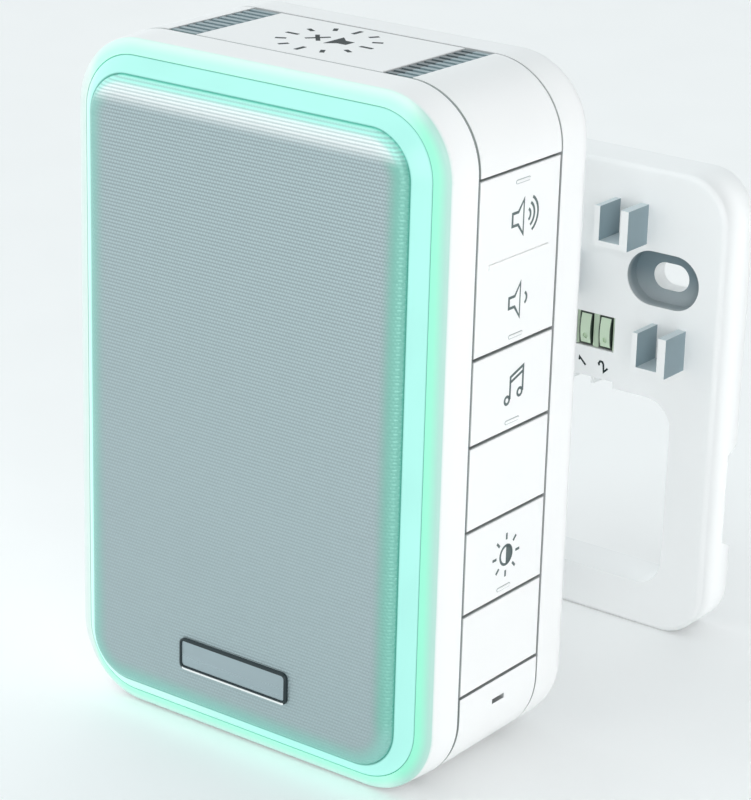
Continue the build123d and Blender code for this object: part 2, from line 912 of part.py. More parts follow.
def make_cone():
    neck = coil_radius
    inner = neck - coil_wall
    body = turned([(cone_radius, y_cone_edge), (cone_radius, y_cone_edge + cone_wall),
                   (neck, y_cone_neck + cone_wall), (inner, y_cone_neck + cone_wall), (inner, y_cone_neck)])
    y_coil_end = y_cone_neck + coil_length
    body += turned([(neck, y_cone_neck), (neck, y_coil_end), (inner, y_coil_end), (inner, y_cone_neck)])
    y_top = y_cone_neck - cap_rise
    flat = neck * cap_flat_share
    body += turned([(0, y_top), (flat, y_top), (neck, y_cone_neck), (neck, y_cone_neck + cone_wall),
                    (inner, y_cone_neck + cone_wall), (flat, y_top + cone_wall), (0, y_top + cone_wall)])
    return body


def make_magnet():
    y_back = y_magnet + magnet_thickness
    ring = rod_y(magnet_radius, y_magnet, y_back, 0, speaker_z)
    ring -= rod_y(magnet_hole_radius, y_magnet - overrun, y_back, 0, speaker_z)
    ring += rod_y(magnet_radius, y_back, y_back + magnet_plate, 0, speaker_z)
    return ring + rod_y(pole_radius, y_magnet, y_back + magnet_plate / 2, 0, speaker_z)


def make_speaker_screws():
    y_tip = y_baffle_back - baffle_wall / 4
    return [screw(speaker_head_radius, speaker_head_height, speaker_screw_radius, y_flange, y_tip, x, z)
            for x, z in speaker_ears()]


# Main board
y_main_front = main_board_lead
y_main_back = y_main_front + main_board_thickness


def standoffs():
    return [(sx * main_standoff_x, z) for sx in (-1, 1)
            for z in (main_standoff_low, box_height - main_standoff_high)]


def make_main_board():
    half = main_board_half
    top = box_height - main_board_margin_high
    body = block(-half, half, y_main_front, y_main_back, main_board_margin_low, top)
    for x, z in standoffs():
        body -= rod_y(board_screw_radius + thread_gap, y_main_front - overrun, y_main_back + overrun, x, z)
    for side in (-1, 1):
        middle = (block_low + block_high) / 2
        body -= rod_y(contact_tail_radius + contact_tail_gap, y_main_front - overrun, y_main_back + overrun,
                      side * contact_spread, middle)
    return body


def make_board_parts():
    """Two capacitors and a coil low on the board, and the sound chip high on it."""
    low = main_board_margin_low + capacitor_rise
    parts = [rod_y(capacitor_radius, y_main_front - capacitor_height, y_main_front, side * capacitor_x, low)
             for side in (-1, 1)]
    half = chip_width / 2
    high = box_height - main_board_margin_high - chip_drop
    parts.append(block(-half, half, y_main_front - chip_height, y_main_front, high - half, high + half))
    coil_z = main_board_margin_low + inductor_rise
    parts.append(rod_y(inductor_radius, y_main_back, y_main_back + inductor_height, 0, coil_z))
    return parts


def make_board_screws():
    y_tip = y_main_back + board_screw_bite - fit_gap
    return [screw(board_head_radius, board_head_height, board_screw_radius, y_main_front, y_tip, x, z)
            for x, z in standoffs()]


# Wall plate
def plate_face_at(y, width, height, radius, z_middle):
    return front_plane(y) * (Pos(0, z_middle) * RectangleRounded(width, height, radius))


def slot_at(length, width, x, y_back, depth):
    shape = front_plane(y_back) * (Pos(x, slot_above_base_plate) * SlotOverall(length, width))
    return extrude(shape, amount=depth)


def opening_prism(grow, y_back, depth):
    width = opening_width + 2 * grow
    height = opening_high - opening_low + 2 * grow
    middle = (opening_low + opening_high) / 2
    return extrude(plate_face_at(y_back, width, height, opening_corner + grow, middle), amount=depth)


def make_clip(x, z, side):
    """A socket with two side walls and a floor web, open to the front and the top."""
    y0 = y_plate - clip_depth
    body = clip_box(x, z, 0, y0, y_plate + fit_gap)
    middle = x + side * (clip_inner_wall - clip_outer_wall) / 2
    half = (clip_width - clip_inner_wall - clip_outer_wall) / 2
    z0 = z - clip_height / 2 + clip_web
    return body - block(middle - half, middle + half, y0 - overrun, y_plate, z0, z + clip_height)


def side_notch():
    """The cable notch in the rear edge of the side skirts, with sloping ends."""
    half = plate_width / 2 + overrun
    plane = Plane(origin=(-half, 0, 0), x_dir=(0, 1, 0), z_dir=(1, 0, 0))
    y_floor = y_plate_back - side_notch_depth
    y_out = y_plate_back + overrun
    low = side_notch_low - side_notch_depth / 2
    high = side_notch_high + side_notch_depth / 2
    points = [(y_floor, side_notch_low), (y_plate_back, low), (y_out, low),
              (y_out, high), (y_plate_back, high), (y_floor, side_notch_high)]
    return extrude(plane * make_face(Polyline(*points, close=True)), amount=2 * half)


def make_wall_plate():
    middle = plate_height / 2
    face = plate_face_at(y_plate_back, plate_width, plate_height, plate_corner, middle)
    body = extrude(face, amount=plate_thickness)
    body = fillet(body.faces().sort_by(Axis.Y)[0].edges(), plate_round)
    inner_width = plate_width - 2 * plate_skirt
    inner_height = plate_height - 2 * plate_skirt
    inner_corner = plate_corner - plate_skirt
    face = plate_face_at(y_plate_back, inner_width, inner_height, inner_corner, middle)
    hollow = extrude(face, amount=plate_thickness - plate_face)
    hollow -= opening_prism(plate_skirt, y_plate_back, plate_thickness)
    boss_length = recess_length + 2 * slot_boss_wall
    boss_width = recess_width + 2 * slot_boss_wall
    for side in (-1, 1):
        x = side * slot_spread / 2
        hollow -= slot_at(boss_length, boss_width, x, y_plate_back, plate_thickness)
    body -= hollow
    body -= opening_prism(0, y_plate_back + overrun, plate_thickness + 2 * overrun)
    through = plate_thickness + overrun
    relief = plate_thickness - recess_depth - slot_floor
    margin = 2 * slot_relief_margin
    for side in (-1, 1):
        x = side * slot_spread / 2
        body -= slot_at(recess_length, recess_width, x, y_plate + recess_depth, recess_depth + overrun)
        body -= slot_at(screw_slot_length, screw_slot_width, x, y_plate_back + overrun, through)
        body -= slot_at(boss_length - margin, boss_width - margin, x, y_plate_back + fit_gap, relief + fit_gap)
    body -= side_notch()
    for x, z, side in clips():
        body += make_clip(x, z, side)
    body += contact_boss()
    body -= terminal_window()
    return body


def contact_boss():
    """The raised block that enters the socket in the back of the box."""
    y0 = y_plate - block_rise
    body = block(-block_half_width, block_half_width, y0, y_plate + plate_face / 2, block_low, block_high)
    body = chamfer(body.faces().sort_by(Axis.Y)[0].edges(), block_corner / 2)
    for side in (-1, 1):
        x = side * contact_spread
        half = spring_width / 2 + fit_gap
        middle = (block_low + block_high) / 2
        tall = spring_height / 2 + fit_gap
        body -= block(x - half, x + half, y0 - overrun, y0 + spring_foot, middle - tall, middle + tall)
    return body


def make_plate_contacts():
    """Two bowed leaf springs that press on the pads when the box hangs on the plate."""
    foot = y_plate - block_rise + spring_foot
    middle = (block_low + block_high) / 2
    half = spring_height / 2
    rise = spring_foot + spring_rise
    bow = bow_face(foot, middle, half, rise)
    bow -= bow_face(foot, middle, half - spring_thickness, rise - spring_thickness)
    springs = []
    for side in (-1, 1):
        x = side * contact_spread - spring_width / 2
        plane = Plane(origin=(x, 0, 0), x_dir=(0, 1, 0), z_dir=(1, 0, 0))
        springs.append(extrude(plane * bow, amount=spring_width))
    return springs


def bow_face(foot, middle, half, rise):
    """A flat face between an arc that bows to the front and its chord."""
    low = (foot, middle - half)
    high = (foot, middle + half)
    return make_face(Curve() + [ThreePointArc(low, (foot - rise, middle), high), Line(high, low)])


# Terminals
terminal_body_left = terminal_left - terminal_frame
terminal_body_right = terminal_right + terminal_frame
terminal_body_high = terminal_high + terminal_frame
y_terminal = y_plate + terminal_sink
y_terminal_back = y_plate + plate_face + terminal_body_depth
lever_pitch = (terminal_right - terminal_left) / 2
lever_z_low = terminal_low + lever_margin
lever_z_high = terminal_high - lever_margin
lever_pivot_z = lever_z_high - lever_hub_radius - lever_margin
lever_pivot_y = y_terminal + lever_pivot_depth


def lever_x(index):
    return terminal_left + lever_pitch * (index + 1 / 2)


def terminal_window():
    """The window for the terminals and the two wire notches above the cable opening."""
    y0 = y_plate - overrun
    y1 = y_plate + plate_face + fit_gap
    body = block(terminal_left, terminal_right, y0, y1, terminal_low, terminal_high)
    half = wire_notch_width / 2
    notch_low = opening_high - fit_gap
    for index in range(2):
        x = lever_x(index) + (2 * index - 1) * wire_notch_space / 2
        body += block(x - half, x + half, y0, y1, notch_low, opening_high + wire_notch_face)
        body += block(x - half, x + half, y_plate + plate_face, y_terminal_back,
                      notch_low, opening_high + plate_skirt + fit_gap)
    return body


def make_terminal_block():
    body = block(terminal_body_left, terminal_body_right, y_plate + plate_face, y_terminal_back,
                 terminal_body_low, terminal_body_high)
    x0 = terminal_left + terminal_gap
    x1 = terminal_right - terminal_gap
    body += block(x0, x1, y_terminal, y_plate + plate_face + fit_gap,
                  terminal_low + terminal_gap, terminal_high - terminal_gap)
    half = lever_width / 2 + lever_side_gap
    reach = half + lever_pivot_reach + pin_gap
    y_hole = y_terminal + lever_well_depth - wire_hole_radius - clamp_thickness
    for index in range(2):
        x = lever_x(index)
        body -= block(x - half, x + half, y_terminal - overrun, y_terminal + lever_well_depth,
                      lever_z_low - lever_low_gap, lever_z_high + lever_side_gap)
        body -= rod_x(lever_pivot_radius + pin_gap, x - reach, x + reach, lever_pivot_y, lever_pivot_z)
        body -= rod_z(wire_hole_radius, terminal_body_low - overrun, lever_z_low, x, y_hole)
    return body


def make_lever(index):
    """A convex push lever that turns on a hub with two short pivots at its upper end."""
    x0 = lever_x(index) - lever_width / 2
    x1 = lever_x(index) + lever_width / 2
    plane = Plane(origin=(x0, 0, 0), x_dir=(0, 1, 0), z_dir=(1, 0, 0))
    front = y_terminal
    back = y_terminal + lever_thickness
    z0 = lever_z_low
    z1 = lever_z_high
    profile = make_face(Curve() + [
        ThreePointArc((front, z0), (front - lever_crown, (z0 + z1) / 2), (front, z1)),
        Line((front, z1), (back, z1)),
        Line((back, z1), (back, z0)),
        Line((back, z0), (front, z0))])
    body = extrude(plane * profile, amount=lever_width)
    body += rod_x(lever_hub_radius, x0, x1, lever_pivot_y, lever_pivot_z)
    body += block(x0, x1, back - fit_gap, lever_pivot_y,
                  lever_pivot_z - lever_hub_radius, lever_pivot_z + lever_hub_radius)
    reach = lever_side_gap + lever_pivot_reach
    body += rod_x(lever_pivot_radius, x0 - reach, x1 + reach, lever_pivot_y, lever_pivot_z)
    dimple = rod_y(lever_dimple_radius, front - overrun, front - lever_crown / 2 + lever_dimple_depth,
                   lever_x(index), z0 + lever_dimple_rise)
    return body - dimple


def make_clamp_springs():
    """A bent strip behind each lever, from the well's floor up the back wall."""
    springs = []
    for index in range(2):
        x = lever_x(index)
        half = clamp_width / 2
        y1 = y_terminal + lever_well_depth
        z0 = lever_z_low - lever_low_gap
        back = block(x - half, x + half, y1 - clamp_thickness, y1, z0, lever_pivot_z)
        foot = block(x - half, x + half, y1 - clamp_foot, y1, z0, z0 + clamp_thickness)
        springs.append(back + foot)
    return springs


# Write one file for each named piece
def save(name, shape):
    solids = shape if isinstance(shape, list) else shape.solids()
    solids = [solid for item in solids for solid in item.solids()]
    body = solids[0] if len(solids) == 1 else Compound(children=solids)
    export_step(body, "parts/" + name + ".step")
    print(name, len(solids))


corner_right, corner_left, left_panel, base_trim = make_trims()
save("front_bezel", make_front_bezel())
save("halo_ring", make_halo_ring())
save("speaker_grille", make_grille())
save("badge_plate", make_badge())
save("led_board", make_led_board())
save("ring_leds", make_leds())
save("middle_frame", make_frame())
save("corner_trim_right", corner_right)
save("corner_trim_left", corner_left)
save("left_side_panel", left_panel)
save("base_trim", base_trim)
save("vent_strip_right", make_vent(1))
save("vent_strip_left", make_vent(-1))
save("blank_key_upper", make_blank(z_blank_upper))
save("blank_key_lower", make_blank(z_blank_lower))
save("volume_rocker", side_plane(z_rocker) * make_rocker())
save("rocker_hinge_pin", side_plane(z_rocker) * make_rocker_pin())
save("melody_button", side_plane(z_melody) * press_cap(key_pitch - seam, (0,)))
save("light_button", side_plane(z_light) * press_cap(key_pitch - seam, (0,)))
save("top_button", top_plane() * press_cap(2 * button_half_width - seam, (-top_hook_spread, top_hook_spread)))
save("side_switch_board", make_side_board())
save("top_switch_board", make_top_board())
side_switches = [side_plane(z) * switch_body()
                 for z in (z_rocker + rocker_stub_offset, z_rocker - rocker_stub_offset, z_melody, z_light)]
save("side_switches", side_switches)
save("top_switch", top_plane() * switch_body())
volume_plungers = [side_plane(z_rocker + side * rocker_stub_offset) * switch_plunger() for side in (-1, 1)]
save("volume_plungers", volume_plungers)
save("melody_plunger", side_plane(z_melody) * switch_plunger())
save("light_plunger", side_plane(z_light) * switch_plunger())
save("top_plunger", top_plane() * switch_plunger())
save("rear_housing", make_rear_housing())
save("power_contacts", make_power_contacts())
save("case_screws", make_case_screws())
save("speaker_gasket", make_gasket())
save("speaker_basket", make_basket())
save("speaker_surround", make_surround())
save("speaker_cone", make_cone())
save("speaker_magnet", make_magnet())
save("speaker_screws", make_speaker_screws())
save("main_board", make_main_board())
save("board_parts", make_board_parts())
save("board_screws", make_board_screws())
save("wall_plate", make_wall_plate())
save("plate_contacts", make_plate_contacts())
save("terminal_block", make_terminal_block())
save("terminal_lever_1", make_lever(0))
save("terminal_lever_2", make_lever(1))
save("clamp_springs", make_clamp_springs())
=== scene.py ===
# %% [markdown]
# # A doorbell chime box, dressed for a studio picture
# The solid model comes packed, at its real size, with its joints. This script gives it its looks:
# moulded white plastic, a lit ring, a woven speaker cover, printed signs and a metal nameplate.
# Everything is in metres and in the model's own frame: X across the front, +Y to the wall, +Z up.
# The model is loaded first, because every place below is worked out from it.

# %% Load the solid model
import json
from math import atan2, ceil, cos, pi, radians, sin, sqrt

import bmesh
import bpy
from mathutils import Matrix, Vector


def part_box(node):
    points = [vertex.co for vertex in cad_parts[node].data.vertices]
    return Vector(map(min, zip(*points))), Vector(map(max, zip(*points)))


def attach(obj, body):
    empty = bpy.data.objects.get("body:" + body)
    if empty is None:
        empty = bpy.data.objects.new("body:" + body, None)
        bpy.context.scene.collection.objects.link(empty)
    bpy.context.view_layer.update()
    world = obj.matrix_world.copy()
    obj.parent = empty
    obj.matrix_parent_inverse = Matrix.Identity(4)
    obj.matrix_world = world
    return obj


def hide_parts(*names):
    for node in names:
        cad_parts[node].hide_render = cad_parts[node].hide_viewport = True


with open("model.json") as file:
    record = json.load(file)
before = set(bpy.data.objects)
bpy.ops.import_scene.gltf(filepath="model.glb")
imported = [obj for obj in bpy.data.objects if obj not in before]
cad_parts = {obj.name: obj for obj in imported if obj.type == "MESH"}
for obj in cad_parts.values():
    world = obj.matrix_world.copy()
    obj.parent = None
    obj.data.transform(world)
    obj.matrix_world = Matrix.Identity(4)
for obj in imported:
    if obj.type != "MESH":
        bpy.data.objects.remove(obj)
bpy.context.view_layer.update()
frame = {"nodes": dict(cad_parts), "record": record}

MM = 0.001
record = frame["record"]
scene = bpy.context.scene
print("nodes in the model:", len(frame["nodes"]))

# %% [markdown]
# ## Places
# A node's box gives the places that the new pieces share. The cover is the box's full outline, the
# ring and the speaker cover lie inside it, and each is drawn in from that outline by an inset.
# The corner radius of each shrinks by the same inset, so that all the outlines stay parallel.

# %% Read the places from the nodes
cover_low, cover_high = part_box("front_bezel")
ring_low, ring_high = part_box("halo_ring")
mesh_low, mesh_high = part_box("speaker_grille")
badge_low, badge_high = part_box("badge_plate")
block_low, block_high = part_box("terminal_block")
plate_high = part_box("wall_plate")[1]
key_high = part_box("melody_button")[1]
box_width = cover_high.x - cover_low.x
box_height = cover_high.z - cover_low.z
box_middle = (cover_low.z + cover_high.z) / 2
CORNER_RADIUS = 13.0 * MM
FACE_BACK = 0.5 * MM
ring_inset = ring_low.x - cover_low.x
mesh_inset = mesh_low.x - cover_low.x
plate_face = block_low.y - FACE_BACK
print("insets in mm:", round(ring_inset / MM, 2), round(mesh_inset / MM, 2))
print("front of the wall plate in mm:", round(plate_face / MM, 2))

# %% [markdown]
# ## Camera
# The viewpoint is a real one: a long lens, a little above the box and to its right. Its place was
# found by fitting named corners of the box and of the wall plate to their places in the photograph.
# The lens is given for Blender's 36 mm sensor, whose long side covers the picture's height.

# %% Make the camera
IMAGE_HEIGHT = 800
SENSOR = 36.0
FOCAL_PIXELS = 2822.8
CAMERA_PLACE = Vector((264.43, -344.37, 214.34)) * MM
AZIMUTH = radians(36.376)
ELEVATION = radians(20.062)
ROLL = radians(1.591)

camera_data = bpy.data.cameras.new("studio_camera")
camera_data.sensor_width = SENSOR
camera_data.sensor_height = SENSOR
camera_data.lens = FOCAL_PIXELS / IMAGE_HEIGHT * SENSOR
camera_data.clip_start = 0.01
camera_data.clip_end = 20
camera = bpy.data.objects.new("studio_camera", camera_data)
scene.collection.objects.link(camera)
forward = Vector((-sin(AZIMUTH) * cos(ELEVATION), cos(AZIMUTH) * cos(ELEVATION), -sin(ELEVATION)))
level = Vector((cos(AZIMUTH), sin(AZIMUTH), 0))
upright = level.cross(forward)
right = cos(ROLL) * level + sin(ROLL) * upright
up = -sin(ROLL) * level + cos(ROLL) * upright
turn = Matrix((right, up, -forward)).transposed().to_4x4()
camera.matrix_world = Matrix.Translation(CAMERA_PLACE) @ turn
scene.camera = camera
print("lens in mm:", round(camera_data.lens, 2))

# %% [markdown]
# ## Light and backdrop
# White plastic on white needs light from all round, or its edges vanish or burn out. The world gives
# most of it and is brighter at the left, so that the clips and the recess of the wall plate turn a
# cool grey on their right sides. A wide lamp beside the camera reaches the wall plate past the box.
# Two strip lamps have narrow beams, each as wide as what it lights: the side with the keys, and the
# edge of the wall plate. The floor is pale, so that it throws light back up under the edges.

# %% Set the world, the lamps and the floor
WORLD_LIGHT = (0.94, 0.985, 1.0, 1)
WORLD_STRENGTH = 0.8
WORLD_LEAN = 0.62
SIDE_POWER = 0.0052
EDGE_POWER = 0.0008
FRONT_POWER = 3.5
HIGH_POWER = 0.7
scene.view_settings.view_transform = "Standard"
scene.view_settings.look = "None"
world = bpy.data.worlds.new("soft_box")
scene.world = world
world.use_nodes = True
sky = world.node_tree
sky_shader = sky.nodes["Background"]
sky_shader.inputs["Color"].default_value = WORLD_LIGHT
direction = sky.nodes.new("ShaderNodeSeparateXYZ")
sky.links.new(sky.nodes.new("ShaderNodeTexCoord").outputs["Generated"], direction.inputs["Vector"])
lean = sky.nodes.new("ShaderNodeMath")
lean.operation = "MULTIPLY_ADD"
sky.links.new(direction.outputs["X"], lean.inputs[0])
lean.inputs[1].default_value = -WORLD_LEAN
lean.inputs[2].default_value = WORLD_STRENGTH
sky.links.new(lean.outputs["Value"], sky_shader.inputs["Strength"])


def area_light(name, place, size, power, colour=(1, 1, 1)):
    """A square lamp that looks at the middle of the box."""
    data = bpy.data.lights.new(name, "AREA")
    data.size = size
    data.energy = power
    data.color = colour
    lamp = bpy.data.objects.new(name, data)
    lamp.location = place
    aim = Vector((0, 0, box_middle)) - Vector(place)
    lamp.rotation_euler = aim.to_track_quat("-Z", "Y").to_euler()
    scene.collection.objects.link(lamp)
    return lamp


def strip_light(name, y_low, y_high, z_high, power):
    """A lamp at the right whose narrow beam covers a strip of the side and nothing beside it."""
    data = bpy.data.lights.new(name, "AREA")
    data.shape = "RECTANGLE"
    data.size = z_high
    data.size_y = y_high - y_low
    data.energy = power
    data.spread = radians(2)
    lamp = bpy.data.objects.new(name, data)
    beam = Matrix(((0, 0, 1), (0, 1, 0), (-1, 0, 0))).to_4x4()
    lamp.matrix_world = Matrix.Translation((0.3, (y_low + y_high) / 2, z_high / 2)) @ beam
    lamp.visible_camera = False
    scene.collection.objects.link(lamp)
    return lamp


strip_light("side_lamp", cover_low.y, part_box("rear_housing")[1].y, box_height, SIDE_POWER)
strip_light("edge_lamp", plate_face + 1.5 * MM, plate_high.y, plate_high.z, EDGE_POWER)
area_light("front_lamp", (0.65, -0.775, 0.28), 0.6, FRONT_POWER)
area_light("high_lamp", (-0.2, -0.45, 1.0), 0.5, HIGH_POWER, (0.8, 1, 1))

FLOOR_HALF = 3.0
floor_mesh = bmesh.new()
bmesh.ops.create_grid(floor_mesh, x_segments=1, y_segments=1, size=FLOOR_HALF)
floor_data = bpy.data.meshes.new("floor")
floor_mesh.to_mesh(floor_data)
floor_mesh.free()
floor = bpy.data.objects.new("floor", floor_data)
scene.collection.objects.link(floor)

# %% [markdown]
# ## Shared effects
# An effect is a node group with named inputs and outputs, built once and placed in each material with
# its own values. The groups read the object's own coordinates, which are the model's frame because
# every piece sits unmoved at the origin. Six are made: the fine grain of moulded plastic, how far
# inside the box's outline a point is, the threads of the speaker cover, metal that was brushed along
# X, painted shade in the seams, and a thin uneven film of dust and handling.
# Short helpers come first, each for one kind of node.


# %% Define helpers for nodes
def new_group(name, inputs, outputs):
    """An empty node group with named sockets: inputs have a default value, outputs a kind."""
    group = bpy.data.node_groups.new(name, "ShaderNodeTree")
    for label, value in inputs.items():
        socket = group.interface.new_socket(name=label, in_out="INPUT", socket_type="NodeSocketFloat")
        socket.default_value = value
    for label, kind in outputs.items():
        group.interface.new_socket(name=label, in_out="OUTPUT", socket_type=kind)
    return group, group.nodes.new("NodeGroupInput"), group.nodes.new("NodeGroupOutput")


def maths(tree, operation, first, second=None, third=None):
    """A math node; an argument may be a socket or a number."""
    node = tree.nodes.new("ShaderNodeMath")
    node.operation = operation
    for socket, value in zip(node.inputs, (first, second, third)):
        if isinstance(value, (int, float)):
            socket.default_value = value
        elif value is not None:
            tree.links.new(value, socket)
    return node.outputs[0]


def product(tree, *factors):
    """Several masks multiplied together."""
    result = factors[0]
    for factor in factors[1:]:
        result = maths(tree, "MULTIPLY", result, factor)
    return result


def ramp(tree, value, low, high, out_low=0.0, out_high=1.0):
    """Maps a range to another with a smooth step, clamped at both ends."""
    node = tree.nodes.new("ShaderNodeMapRange")
    node.interpolation_type = "SMOOTHSTEP"
    node.inputs["From Min"].default_value = low
    node.inputs["From Max"].default_value = high
    node.inputs["To Min"].default_value = out_low
    node.inputs["To Max"].default_value = out_high
    tree.links.new(value, node.inputs["Value"])
    return node.outputs["Result"]


def use(tree, group):
    """Puts a node group into a material or into another group."""
    node = tree.nodes.new("ShaderNodeGroup")
    node.node_tree = group
    return node


# %% Define helpers for textures and places
def noise(tree, scale, detail=2.0, stretch=None):
    """Noise on the object's own coordinates, stretched along its axes if asked."""
    place = tree.nodes.new("ShaderNodeTexCoord").outputs["Object"]
    if stretch is not None:
        mapping = tree.nodes.new("ShaderNodeMapping")
        mapping.inputs["Scale"].default_value = stretch
        tree.links.new(place, mapping.inputs["Vector"])
        place = mapping.outputs["Vector"]
    node = tree.nodes.new("ShaderNodeTexNoise")
    node.inputs["Detail"].default_value = detail
    tree.links.new(place, node.inputs["Vector"])
    if isinstance(scale, (int, float)):
        node.inputs["Scale"].default_value = scale
    else:
        tree.links.new(scale, node.inputs["Scale"])
    return node.outputs["Fac"]


def bump(tree, height, strength, distance):
    """Turns a height into a normal."""
    node = tree.nodes.new("ShaderNodeBump")
    node.inputs["Distance"].default_value = distance
    tree.links.new(height, node.inputs["Height"])
    if isinstance(strength, (int, float)):
        node.inputs["Strength"].default_value = strength
    else:
        tree.links.new(strength, node.inputs["Strength"])
    return node.outputs["Normal"]


def axis_value(tree, node_kind, output, axis):
    """One axis of where a point is, or of which way it faces."""
    parts = tree.nodes.new("ShaderNodeSeparateXYZ")
    tree.links.new(tree.nodes.new(node_kind).outputs[output], parts.inputs["Vector"])
    return parts.outputs[axis]


def point_axis(tree, axis):
    """One axis of where a point is on its object."""
    return axis_value(tree, "ShaderNodeTexCoord", "Object", axis)


def facing_axis(tree, axis):
    """One axis of the way a face points."""
    return axis_value(tree, "ShaderNodeNewGeometry", "Normal", axis)


# %% Define helpers for colours and masks
def shaded(tree, colour, shade):
    """A colour that is darkened a little by a factor."""
    node = tree.nodes.new("ShaderNodeMix")
    node.data_type = "RGBA"
    node.blend_type = "MULTIPLY"
    node.inputs["Factor"].default_value = 1.0
    node.inputs["A"].default_value = (*colour, 1)
    tree.links.new(shade, node.inputs["B"])
    return node.outputs["Result"]


def blend_colour(tree, factor, first, second):
    """Mixes from one colour to another; each may be a socket or a plain colour."""
    node = tree.nodes.new("ShaderNodeMix")
    node.data_type = "RGBA"
    tree.links.new(factor, node.inputs["Factor"])
    for socket, value in ((node.inputs["A"], first), (node.inputs["B"], second)):
        if isinstance(value, tuple):
            socket.default_value = (*value, 1)
        else:
            tree.links.new(value, socket)
    return node.outputs["Result"]


def blend_base(material, mask, colour):
    """Blends the base colour of a material to another colour where a mask is full."""
    tree = material.node_tree
    base = tree.nodes["Principled BSDF"].inputs["Base Color"]
    tree.links.new(blend_colour(tree, mask, base.links[0].from_socket, colour), base)


def within(tree, value, middle, half):
    """A mask that is full within a distance of a place."""
    away = maths(tree, "ABSOLUTE", maths(tree, "SUBTRACT", value, middle))
    return maths(tree, "LESS_THAN", away, half)


# %% Make the groups for plastic and for places
GRAIN = 5200.0
GRAIN_RISE = 0.03 * MM
grain, grain_in, grain_out = new_group(
    "moulded_grain", {"Scale": GRAIN, "Depth": 0.25},
    {"Normal": "NodeSocketVector", "Shade": "NodeSocketFloat"})
fine = noise(grain, grain_in.outputs["Scale"])
grain_normal = bump(grain, fine, grain_in.outputs["Depth"], GRAIN_RISE)
grain.links.new(grain_normal, grain_out.inputs["Normal"])
grain.links.new(ramp(grain, noise(grain, 45.0), 0.3, 0.7, 0.985, 1.0), grain_out.inputs["Shade"])

inset_group, _, inset_out = new_group("inset_from_outline", {}, {"Millimetres": "NodeSocketFloat"})
sides = maths(inset_group, "ABSOLUTE", point_axis(inset_group, "X"))
across = maths(inset_group, "SUBTRACT", sides, box_width / 2 - CORNER_RADIUS)
heights = maths(inset_group, "SUBTRACT", point_axis(inset_group, "Z"), box_middle)
ends = maths(inset_group, "ABSOLUTE", heights)
along = maths(inset_group, "SUBTRACT", ends, box_height / 2 - CORNER_RADIUS)
across_out = maths(inset_group, "MAXIMUM", across, 0.0)
along_out = maths(inset_group, "MAXIMUM", along, 0.0)
squares = maths(inset_group, "ADD", maths(inset_group, "POWER", across_out, 2.0),
                maths(inset_group, "POWER", along_out, 2.0))
outside = maths(inset_group, "SQRT", squares)
inside = maths(inset_group, "MINIMUM", maths(inset_group, "MAXIMUM", across, along), 0.0)
distance = maths(inset_group, "SUBTRACT", CORNER_RADIUS, maths(inset_group, "ADD", outside, inside))
inset_group.links.new(maths(inset_group, "DIVIDE", distance, MM), inset_out.inputs["Millimetres"])

# %% Make the groups for threads and brushed metal
THREAD_PITCH = 0.58 * MM
THREAD_RISE = 0.06 * MM
BRUSH_RISE = 0.02 * MM
weave, weave_in, weave_out = new_group(
    "woven_threads", {"Pitch": THREAD_PITCH, "Contrast": 0.27},
    {"Shade": "NodeSocketFloat", "Rows": "NodeSocketFloat", "Normal": "NodeSocketVector"})
row_turns = maths(weave, "DIVIDE", point_axis(weave, "Z"), weave_in.outputs["Pitch"])
column_turns = maths(weave, "DIVIDE", point_axis(weave, "X"), weave_in.outputs["Pitch"])
row_wave = maths(weave, "COSINE", maths(weave, "MULTIPLY", row_turns, 2 * pi))
half_row = maths(weave, "MULTIPLY", maths(weave, "FLOOR", maths(weave, "ADD", row_turns, 0.5)), 0.5)
shifted_turns = maths(weave, "ADD", column_turns, half_row)
column_wave = maths(weave, "COSINE", maths(weave, "MULTIPLY", shifted_turns, 2 * pi))
rows_only = maths(weave, "MULTIPLY_ADD", row_wave, 0.5, 0.5)
threads = maths(weave, "MULTIPLY_ADD", row_wave, 0.6, maths(weave, "MULTIPLY", column_wave, 0.4))
thread_shade = maths(weave, "MULTIPLY_ADD", threads, weave_in.outputs["Contrast"], 1.0)
weave.links.new(thread_shade, weave_out.inputs["Shade"])
weave.links.new(rows_only, weave_out.inputs["Rows"])
weave.links.new(bump(weave, threads, 0.6, THREAD_RISE), weave_out.inputs["Normal"])

brushed, brushed_in, brushed_out = new_group(
    "brushed_metal", {"Depth": 0.3},
    {"Normal": "NodeSocketVector", "Roughness": "NodeSocketFloat"})
streaks = noise(brushed, 900.0, 3.0, (0.04, 1, 1))
brushed_normal = bump(brushed, streaks, brushed_in.outputs["Depth"], BRUSH_RISE)
brushed.links.new(brushed_normal, brushed_out.inputs["Normal"])
brushed.links.new(ramp(brushed, streaks, 0.2, 0.8, 0.24, 0.46), brushed_out.inputs["Roughness"])

# %% Make the groups for painted seam shade and for dust
# Painted shade: the walls of the seams, and a strip of the key's front edge beside the front seam,
# are darkened as if in shade, a little less near the top.
BAND_HALF = 11.4 * MM
KEY_FRONT = -10.9 * MM
WALL_SHARE = 0.5
SHADE_HEIGHTS = (box_height - 14 * MM, box_height - 6 * MM)
shade_group, shade_in, shade_out = new_group(
    "seam_shade", {"Depth": 0.09, "Strength": 1.0}, {"Mask": "NodeSocketFloat"})
shade_place = use(shade_group, inset_group).outputs["Millimetres"]
seam_y = point_axis(shade_group, "Y")
deep = maths(shade_group, "GREATER_THAN", shade_place, shade_in.outputs["Depth"])
in_band = maths(shade_group, "LESS_THAN", maths(shade_group, "ABSOLUTE", seam_y), BAND_HALF)
key_strip_shade = maths(shade_group, "LESS_THAN", seam_y, KEY_FRONT)
walls = maths(shade_group, "MAXIMUM", maths(shade_group, "MULTIPLY", deep, WALL_SHARE), key_strip_shade)
on_the_side = ramp(shade_group, point_axis(shade_group, "Z"), *SHADE_HEIGHTS, 1.0, 0.75)
mask = product(shade_group, walls, in_band, on_the_side, shade_in.outputs["Strength"])
